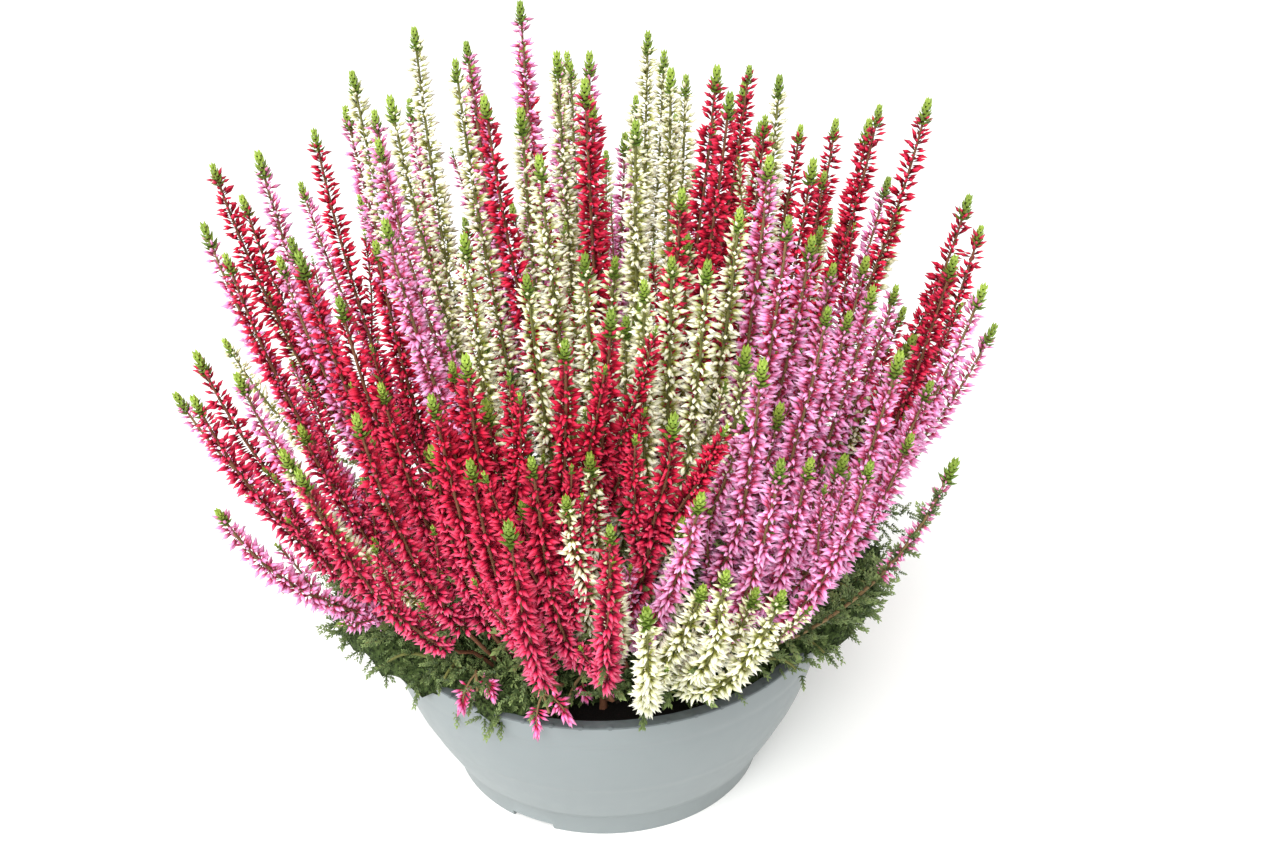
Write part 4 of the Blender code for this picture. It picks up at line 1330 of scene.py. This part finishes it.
def rim_branches():
    """Lines of the leafy branches that lie round the foot of the plant and over the rim."""
    draw = np.random.default_rng(17)
    turns, reaches = zip(*RIM_REACH)
    branches = []
    for number in range(RIM_BRANCHES):
        turn = (number * GOLDEN_TURN + draw.uniform(-3, 3)) % 360 - 180
        reach = np.interp(turn, turns, reaches) * draw.uniform(*RIM_VARY)
        swerve = turn + draw.uniform(-RIM_SWERVE, RIM_SWERVE)
        first, last = math.radians(swerve), math.radians(turn)
        start_way = np.array((math.cos(first), math.sin(first), 0.0))
        end_way = np.array((math.cos(last), math.sin(last), 0.0))
        low = reach - draw.uniform(*RIM_RUN)
        height = RIM_LEVEL + RIM_RISE * max(reach - RIM_OVER, 0.0) + draw.uniform(0.0, 0.018)
        start = low * start_way + (SOIL_TOP + 0.002) * UP
        middle = (low + RIM_BEND) * start_way + (height + draw.uniform(*RIM_CREST)) * UP
        branches.append(arch(start, middle, reach * end_way + height * UP))
    return branches


def cushion_section(reach):
    """One section of the cushion: for each row its level, its height and whether it is lumpy.

    The top is flat and then rounds over; the underside runs back in over the pot's lip.
    """
    crest = CUSHION_TOP + CUSHION_RISE * max(0.0, reach - CUSHION_FROM) - SOIL_TOP
    section = []
    for share in np.arange(CUSHION_ROWS) / (CUSHION_ROWS - 1):
        if share <= CUSHION_TURN:
            part = share / CUSHION_TURN
            bend = max(0.0, (part - CUSHION_TURN) / (1 - CUSHION_TURN))
            rise = math.sqrt(max(0.0, 1 - bend ** 2))
            level = CUSHION_FIRST + (reach - CUSHION_FIRST) * part
            height = SOIL_TOP + crest * (CUSHION_WAIST + (1 - CUSHION_WAIST) * rise)
        else:
            part = (share - CUSHION_TURN) / (1 - CUSHION_TURN)
            level = reach + (min(reach, CUSHION_ROOT) - reach) * part
            height = SOIL_TOP + crest * CUSHION_WAIST * (1 - part) - 0.001 * part
            if reach > CUSHION_ROOT:
                height = max(height, POT_HEIGHT + CUSHION_CLEAR - CUSHION_HANG * part)
        section.append((level, height, share < CUSHION_SMOOTH))
    return section


def cushion_mesh(draw):
    """The leafy cushion that fills the foot of the plant: a lumpy ring open over the front soil."""
    turns, reaches = zip(*RIM_REACH)
    columns, rows = CUSHION_COLUMNS, CUSHION_ROWS
    lump = lumps(draw, CUSHION_WAVES, CUSHION_WAVE)
    corners = []
    for column in range(columns):
        turn = 360 * column / columns - 180
        reach = np.interp(turn, turns, reaches) - CUSHION_IN
        way = np.array((math.cos(math.radians(turn)), math.sin(math.radians(turn))))
        for level, height, lumpy in cushion_section(reach):
            across, back = way * level
            corners.append((across, back, height + CUSHION_LUMP * lump(across, back) * lumpy))
    faces = []
    for column in range(columns):
        after = (column + 1) % columns
        for row in range(rows - 1):
            faces.append((column * rows + row, column * rows + row + 1,
                          after * rows + row + 1, after * rows + row))
    return solid_of("cushion", corners, faces)


def upper_side(mesh):
    """The part of the cushion that shoots stand on: its upper side, clear of the bowl's wall."""
    shape = bmesh.new()
    shape.from_mesh(mesh)
    low = []
    for face in shape.faces:
        middle = face.calc_center_median()
        walled = middle.z < POT_HEIGHT + WALL_ROOM and WALL_INSIDE < middle.xy.length < WALL_REACH
        if walled or face.normal.z < MOSS_STEEPEST:
            low.append(face)
    bmesh.ops.delete(shape, geom=low, context="FACES")
    upper = bpy.data.meshes.new("cushion_top")
    shape.to_mesh(upper)
    shape.free()
    return upper


def make_foliage(plant, parts, finishes, trees):
    """The leafy cushion with its shoots, branches over the rim, and leaves up every stem."""
    leafy = [name for name in plant if name.startswith("leafy")]
    sprays = [name for name in plant if name.startswith("spray")]
    cushion = cushion_mesh(np.random.default_rng(18))
    moss = make_piece("moss_shoots", upper_side(cushion), trees["moss"], part=parts["sprout"],
                      density=MOSS_DENSITY, seed=43, material=finishes["leafy"])
    ride_on(moss, leafy)
    cushion.materials.append(finishes["cushion"])
    body = make_piece("leaf_cushion", cushion)
    ride_on(body, leafy)
    own = [each for name in leafy for each in plant[name]]
    slender = [stretch(each["line"], 0.0, 0.90)[0] for name in sprays for each in plant[name]
               if is_slender(each)]
    lines = []
    for line in [each["line"] for each in own] + rim_branches() + 3 * slender:
        points, share = stretch(line, 0.30, 1.0)
        lines.append((points, {"size": 1.10 - 0.30 * share, "lean": np.radians(66 - 34 * share),
                               "crowd": np.ones(len(share)), "bloom": share}))
    rim = make_piece("rim_foliage", line_mesh("rim", lines), trees["along"], part=parts["sprout"],
                     spacing=RIM_SPACING, turn_spread=0.6, lean_spread=0.3, size_spread=0.3,
                     seed=41, material=finishes["leafy"])
    ride_on(rim, leafy)
    lines = []
    for each in [each for name in sprays for each in plant[name]]:
        points, share = stretch(each["line"], 0.08, max(each["begin"] + 0.16, flowers_from(each)))
        part = share / share[-1]
        lines.append((points, {"size": 1.7 - 0.9 * part, "lean": np.full(len(share), 0.8),
                               "crowd": np.ones(len(share)), "bloom": part}))
    inner = make_piece("inner_foliage", line_mesh("inner", lines), trees["along"], part=parts["shoot"],
                       spacing=INNER_SPACING, turn_spread=0.9, lean_spread=0.35, size_spread=0.3,
                       seed=42, material=finishes["leafy"])
    ride_on(inner, sprays)
    make_stems("leafy_stems", own, leafy, finishes["bark_white"], trees)


def make_sprigs(plant, parts, finishes, trees):
    """Small nodding bunches of rose-pink florets at the rim, two to a sprig."""
    names = [name for name in plant if name.startswith("sprig")]
    stems = [each for name in names for each in plant[name]]
    draw = np.random.default_rng(52)
    lines, bunches = [], []
    for each in stems:
        start, end = each["line"][BUNCH_FORK], each["line"][-1]
        for side in (-1, 1):
            off = side * np.array(BUNCH_ASIDE) + draw.normal(0, BUNCH_VARY, 3)
            bent = arch(start, (start + end) / 2 + 0.8 * off + BUNCH_RISE * UP, end + off)
            points, share = stretch(bent, BUNCH_FROM, 1.0, BUNCH_POINTS)
            ones = np.ones(len(share))
            lines.append((points, {"size": BUNCH_SIZE * ones, "crowd": ones, "bloom": 0 * ones,
                                   "lean": np.linspace(*BUNCH_LEAN, len(share))}))
            bunches.append({"name": each["name"], "line": bent})
    item = make_piece("sprig_florets", line_mesh("sprigs", lines), trees["along"],
                      part=parts["floret"], spacing=BUNCH_SPACING, turn_spread=0.9, lean_spread=0.3,
                      size_spread=0.2, hang=0.35, seed=51, material=finishes["rose"])
    ride_on(item, names)
    make_stems("sprig_stems", stems, names, finishes["bark_pink"], trees, bunches)


def spin_profile(name, profile, sides):
    """A closed solid of revolution: the profile starts and ends on the axis."""
    shape = bmesh.new()
    corners = [shape.verts.new((across, 0.0, up)) for across, up in profile]
    edges = [shape.edges.new(pair) for pair in zip(corners, corners[1:])]
    bmesh.ops.spin(shape, geom=corners + edges, cent=(0, 0, 0), axis=(0, 0, 1),
                   angle=2 * math.pi, steps=sides, use_duplicate=False)
    bmesh.ops.remove_doubles(shape, verts=shape.verts, dist=0.00003)
    bmesh.ops.recalc_face_normals(shape, faces=shape.faces)
    mesh = bpy.data.meshes.new(name)
    shape.to_mesh(mesh)
    shape.free()
    mesh.shade_smooth()
    return mesh


def outer_radius(height):
    """The pot wall's outer radius: upright under the rim, curving in to the foot."""
    drop = max(0.0, (WALL_END - height) / (WALL_END - FOOT_HEIGHT))
    return POT_RADIUS - WALL_DROP * drop ** WALL_BEND


def bowl_profile():
    """The bowl's section in full: rounded lip, two faint steps, foot band and inside."""
    outside = [(POT_RADIUS - LIP_ROUND, POT_HEIGHT), (POT_RADIUS - LIP_SOFT, POT_HEIGHT - 0.0002),
               (POT_RADIUS, POT_HEIGHT - LIP_ROUND)]
    recess = STEP_PROUD * len(WALL_STEPS)
    wall = []
    for height in np.linspace(WALL_TOP, FOOT_HEIGHT + 0.0006, WALL_ROWS):
        proud = STEP_PROUD * sum(height > step for step in WALL_STEPS)
        wall.append((outer_radius(height) - recess + proud, height))
    for above, step in enumerate(WALL_STEPS):
        wall.append((outer_radius(step) - recess + STEP_PROUD * above, step - STEP_DROP))
    outside += sorted(wall, key=lambda spot: -spot[1])
    outside += [(FOOT_TOP_RADIUS + FOOT_LEDGE, FOOT_HEIGHT), (FOOT_TOP_RADIUS, FOOT_HEIGHT - FOOT_LEDGE)]
    outside += [(FOOT_BASE_RADIUS + 0.0001, 0.0008), (FOOT_BASE_RADIUS - 0.0003, 0.0002)]
    outside += [(FOOT_BASE_RADIUS - FOOT_ROUND, 0.0), (0.0, 0.0)]
    lip_foot = POT_HEIGHT - LIP_DEPTH - LIP_SLOPE
    lip_inside = POT_RADIUS - LIP_WIDTH
    inside = [(0.0, FLOOR), (FLOOR_RADIUS - 2 * FLOOR_ROUND, FLOOR), (FLOOR_RADIUS, FLOOR + FLOOR_ROUND)]
    for height in np.linspace(INSIDE_FROM, lip_foot - 0.001, INSIDE_ROWS):
        inside.append((outer_radius(height) - WALL, height))
    inside += [(POT_RADIUS - WALL, lip_foot), (lip_inside, POT_HEIGHT - LIP_DEPTH)]
    inside += [(lip_inside, POT_HEIGHT - LIP_INNER_ROUND), (lip_inside + LIP_INNER_ROUND, POT_HEIGHT)]
    return inside + outside


def foot_notches():
    """Cutters for the wide low notches in the foot and the drain holes behind them."""
    shape = bmesh.new()
    size = (2 * NOTCH_REACH, NOTCH_WIDTH, 2 * NOTCH_HEIGHT)
    for number in range(NOTCHES):
        turn = Matrix.Rotation(NOTCH_TURN + 2 * math.pi * number / NOTCHES, 4, "Z")
        out = Matrix.Translation((FOOT_BASE_RADIUS, 0.0, 0.0))
        bmesh.ops.create_cube(shape, size=1.0, matrix=turn @ out @ Matrix.Diagonal((*size, 1.0)))
        hole = turn @ Matrix.Translation((DRAIN_PLACE, 0.0, FLOOR))
        bmesh.ops.create_cone(shape, cap_ends=True, segments=20, radius1=DRAIN_RADIUS,
                              radius2=DRAIN_RADIUS, depth=2 * FLOOR + 0.004, matrix=hole)
    mesh = bpy.data.meshes.new("foot_notches")
    shape.to_mesh(mesh)
    shape.free()
    return mesh


def cut_out(item, cutter):
    """Cuts one piece out of another, which stays a plain mesh."""
    cut = item.modifiers.new("cut", "BOOLEAN")
    cut.operation = "DIFFERENCE"
    cut.solver = "EXACT"
    cut.use_self = True
    cut.object = cutter
    bpy.context.view_layer.update()
    item.data = evaluated_mesh(item)
    item.modifiers.clear()
    bpy.data.objects.remove(cutter)


def add_nubs(mesh):
    """Small rounded nubs all round the lip's outer edge."""
    shape = bmesh.new()
    shape.from_mesh(mesh)
    place = Matrix.Translation((POT_RADIUS - NUB_PLACE, 0.0, POT_HEIGHT - NUB_DROP))
    size = Matrix.Diagonal((*NUB_SIZE, 1.0))
    for number in range(NUBS):
        turn = Matrix.Rotation(2 * math.pi * (number + 0.3) / NUBS, 4, "Z")
        found = bmesh.ops.create_cube(shape, size=1.0, matrix=turn @ place @ size)
        edges = {edge for corner in found["verts"] for edge in corner.link_edges}
        bmesh.ops.bevel(shape, geom=list(edges), offset=NUB_ROUND, segments=2, affect="EDGES")
    shape.to_mesh(mesh)
    shape.free()


def in_painted_shade(face):
    """Whether a face of the bowl is on its lip or inside it, which take the darker tone of painted shade.
    """
    across, back, up = face.center
    level = math.hypot(across, back)
    if up > POT_HEIGHT - 0.0007:
        return True
    inner = level < POT_RADIUS - WALL / 2 and up > 0.010 and level > 0.07 and face.normal.z > -0.9
    return inner and (across * face.normal.x + back * face.normal.y) < 0


def make_bowl(finishes):
    """The moulded bowl, with its notches cut and a row of small nubs round the lip."""
    item = make_piece("bowl", spin_profile("bowl", bowl_profile(), BOWL_SIDES))
    cut_out(item, make_piece("notch_cutter", foot_notches()))
    mesh = item.data
    add_nubs(mesh)
    mesh.materials.clear()
    mesh.materials.append(finishes["pot"])
    mesh.materials.append(finishes["lip"])
    # The lip and inside faces take the darker material, which is painted shade
    for face in mesh.polygons:
        face.material_index = int(in_painted_shade(face))
    mesh.shade_smooth()
    mesh.set_sharp_from_angle(angle=SHARP_EDGE)
    ride_on(item, ["pot"])


def make_soil_piece(parts, finishes, trees):
    """The soil: its body in the bowl, an uneven top, and crumbs strewn over it."""
    edge = outer_radius(SOIL_EDGE_HEIGHT) - WALL - SOIL_PLAY
    profile = [(edge * k / SOIL_RINGS, SOIL_TOP - 0.0004) for k in range(SOIL_RINGS + 1)]
    profile += [(outer_radius(height) - WALL - SOIL_PLAY, height) for height in SOIL_WALL_HEIGHTS]
    profile += [(FLOOR_RADIUS - 0.0008, FLOOR + 0.0004), (0.0, FLOOR + 0.0004)]
    mesh = spin_profile("soil_body", profile, SOIL_SIDES)
    swell = lumps(np.random.default_rng(9), SOIL_WAVES, SOIL_WAVE)
    for corner in mesh.vertices:
        across, back, up = corner.co
        if up > SOIL_EDGE_HEIGHT and math.hypot(across, back) < edge - 0.001:
            corner.co.z += SOIL_SWELL * swell(across, back)
    mesh.materials.append(finishes["peat"])
    body = make_piece("soil_bed", mesh)
    ride_on(body, ["soil"])
    top = bmesh.new()
    bmesh.ops.create_circle(top, cap_ends=True, segments=64, radius=edge - 0.003,
                            matrix=Matrix.Translation((0, 0, SOIL_TOP)))
    disc = bpy.data.meshes.new("soil_top")
    top.to_mesh(disc)
    top.free()
    crumbs = make_piece("soil_crumbs", disc, trees["crumbs"], part=parts["crumb"],
                        density=CRUMB_DENSITY, seed=3, material=finishes["peat"])
    ride_on(crumbs, ["soil"])


def helper(name, mesh):
    """A small part that the trees copy; it leaves the scene before the end."""
    item = bpy.data.objects.new(name, mesh)
    bpy.context.scene.collection.objects.link(item)
    return item


def make_floor():
    """A wide pale floor, which is no part of the object."""
    bpy.ops.mesh.primitive_plane_add(size=FLOOR_SIZE)
    floor = bpy.context.object
    floor.name = "floor"
    floor.data.materials.append(floor_finish())


def make_camera():
    """The camera where the photograph was taken from."""
    data = bpy.data.cameras.new("camera")
    data.sensor_width = 36.0
    data.lens = VIEW_FOCAL / (2 * VIEW_CENTRE[0]) * data.sensor_width
    camera = bpy.data.objects.new("camera", data)
    bpy.context.scene.collection.objects.link(camera)
    ahead, side, lift = view_axes()
    turn = Matrix((side, lift, -ahead)).transposed().to_4x4()
    camera.matrix_world = Matrix.Translation(VIEW_PLACE) @ turn
    bpy.context.scene.camera = camera


def make_lamp(name, kind, place, power):
    """A lamp of one kind at a place, and its data."""
    data = bpy.data.lights.new(name, kind)
    data.energy = power
    lamp = bpy.data.objects.new(name, data)
    bpy.context.scene.collection.objects.link(lamp)
    lamp.location = place
    return lamp, data


def make_key():
    """A broad even light from the front, which leaves the whole floor equally pale."""
    lamp, data = make_lamp("key", "SUN", KEY_PLACE, KEY_STRENGTH)
    data.angle = math.radians(KEY_SOFTNESS)
    lamp.rotation_euler = Vector(KEY_PLACE).to_track_quat("Z", "Y").to_euler()


def make_fill():
    """A soft round light from the left."""
    lamp, data = make_lamp("fill", "AREA", FILL_PLACE, FILL_POWER)
    data.shape = "DISK"
    data.size = FILL_SIZE
    way = np.array(FILL_AIM) - np.array(FILL_PLACE)
    lamp.rotation_euler = Vector(way).to_track_quat("-Z", "Y").to_euler()


def make_studio():
    """The floor, the even surround and the two lamps."""
    make_floor()
    world = bpy.data.worlds.new("studio")
    world.use_nodes = True
    shade = world.node_tree.nodes["Background"]
    shade.inputs["Color"].default_value = (1.0, 1.0, 1.0, 1.0)
    shade.inputs["Strength"].default_value = SURROUND
    bpy.context.scene.world = world
    bpy.context.scene.view_settings.view_transform = "Standard"
    make_key()
    make_fill()


def make_parts():
    """The small parts that the trees copy, each a helper object."""
    meshes = {"floret": floret_mesh(), "scale_leaf": scale_leaf_mesh()}
    meshes.update({name: leafy_mesh(name, *sizes) for name, sizes in LEAFY_PARTS.items()})
    meshes["crumb"] = crumb_mesh()
    return {name: helper(name, mesh) for name, mesh in meshes.items()}


def make_finishes():
    """Every material of the plant, the soil and the bowl."""
    finishes = {colour: floret_finish(colour) for colour in FLORETS}
    for colour, shade in BARK.items():
        finishes["bark_" + colour] = bark_finish(colour + "_stem", shade)
    finishes["leafy"] = leaf_finish("foliage", LEAF_DARK, LEAF_LIGHT)
    finishes["scale"] = leaf_finish("scale_leaf", SCALE_DARK, SCALE_LIGHT)
    finishes["tuft"] = leaf_finish("tip_leaf", TUFT_DARK, TUFT_LIGHT, 0.5)
    finishes["pot"] = pot_finish()
    finishes["lip"] = shaded_lip_finish()
    finishes["peat"] = peat_finish()
    finishes["cushion"] = cushion_finish()
    return finishes


def main():
    """Builds the scene: view, floor and light, then every piece of the plant and its bowl."""
    make_camera()
    make_studio()
    plant = grown()
    parts = make_parts()
    finishes = make_finishes()
    trees = {"along": along_stems_tree(), "ends": stem_ends_tree(), "tubes": stem_tubes_tree(),
             "crumbs": crumb_tree(), "moss": moss_tree()}
    make_flowers(plant, parts, finishes, trees)
    make_foliage(plant, parts, finishes, trees)
    make_sprigs(plant, parts, finishes, trees)
    make_bowl(finishes)
    make_soil_piece(parts, finishes, trees)
    for item in parts.values():
        bpy.data.objects.remove(item)


main()
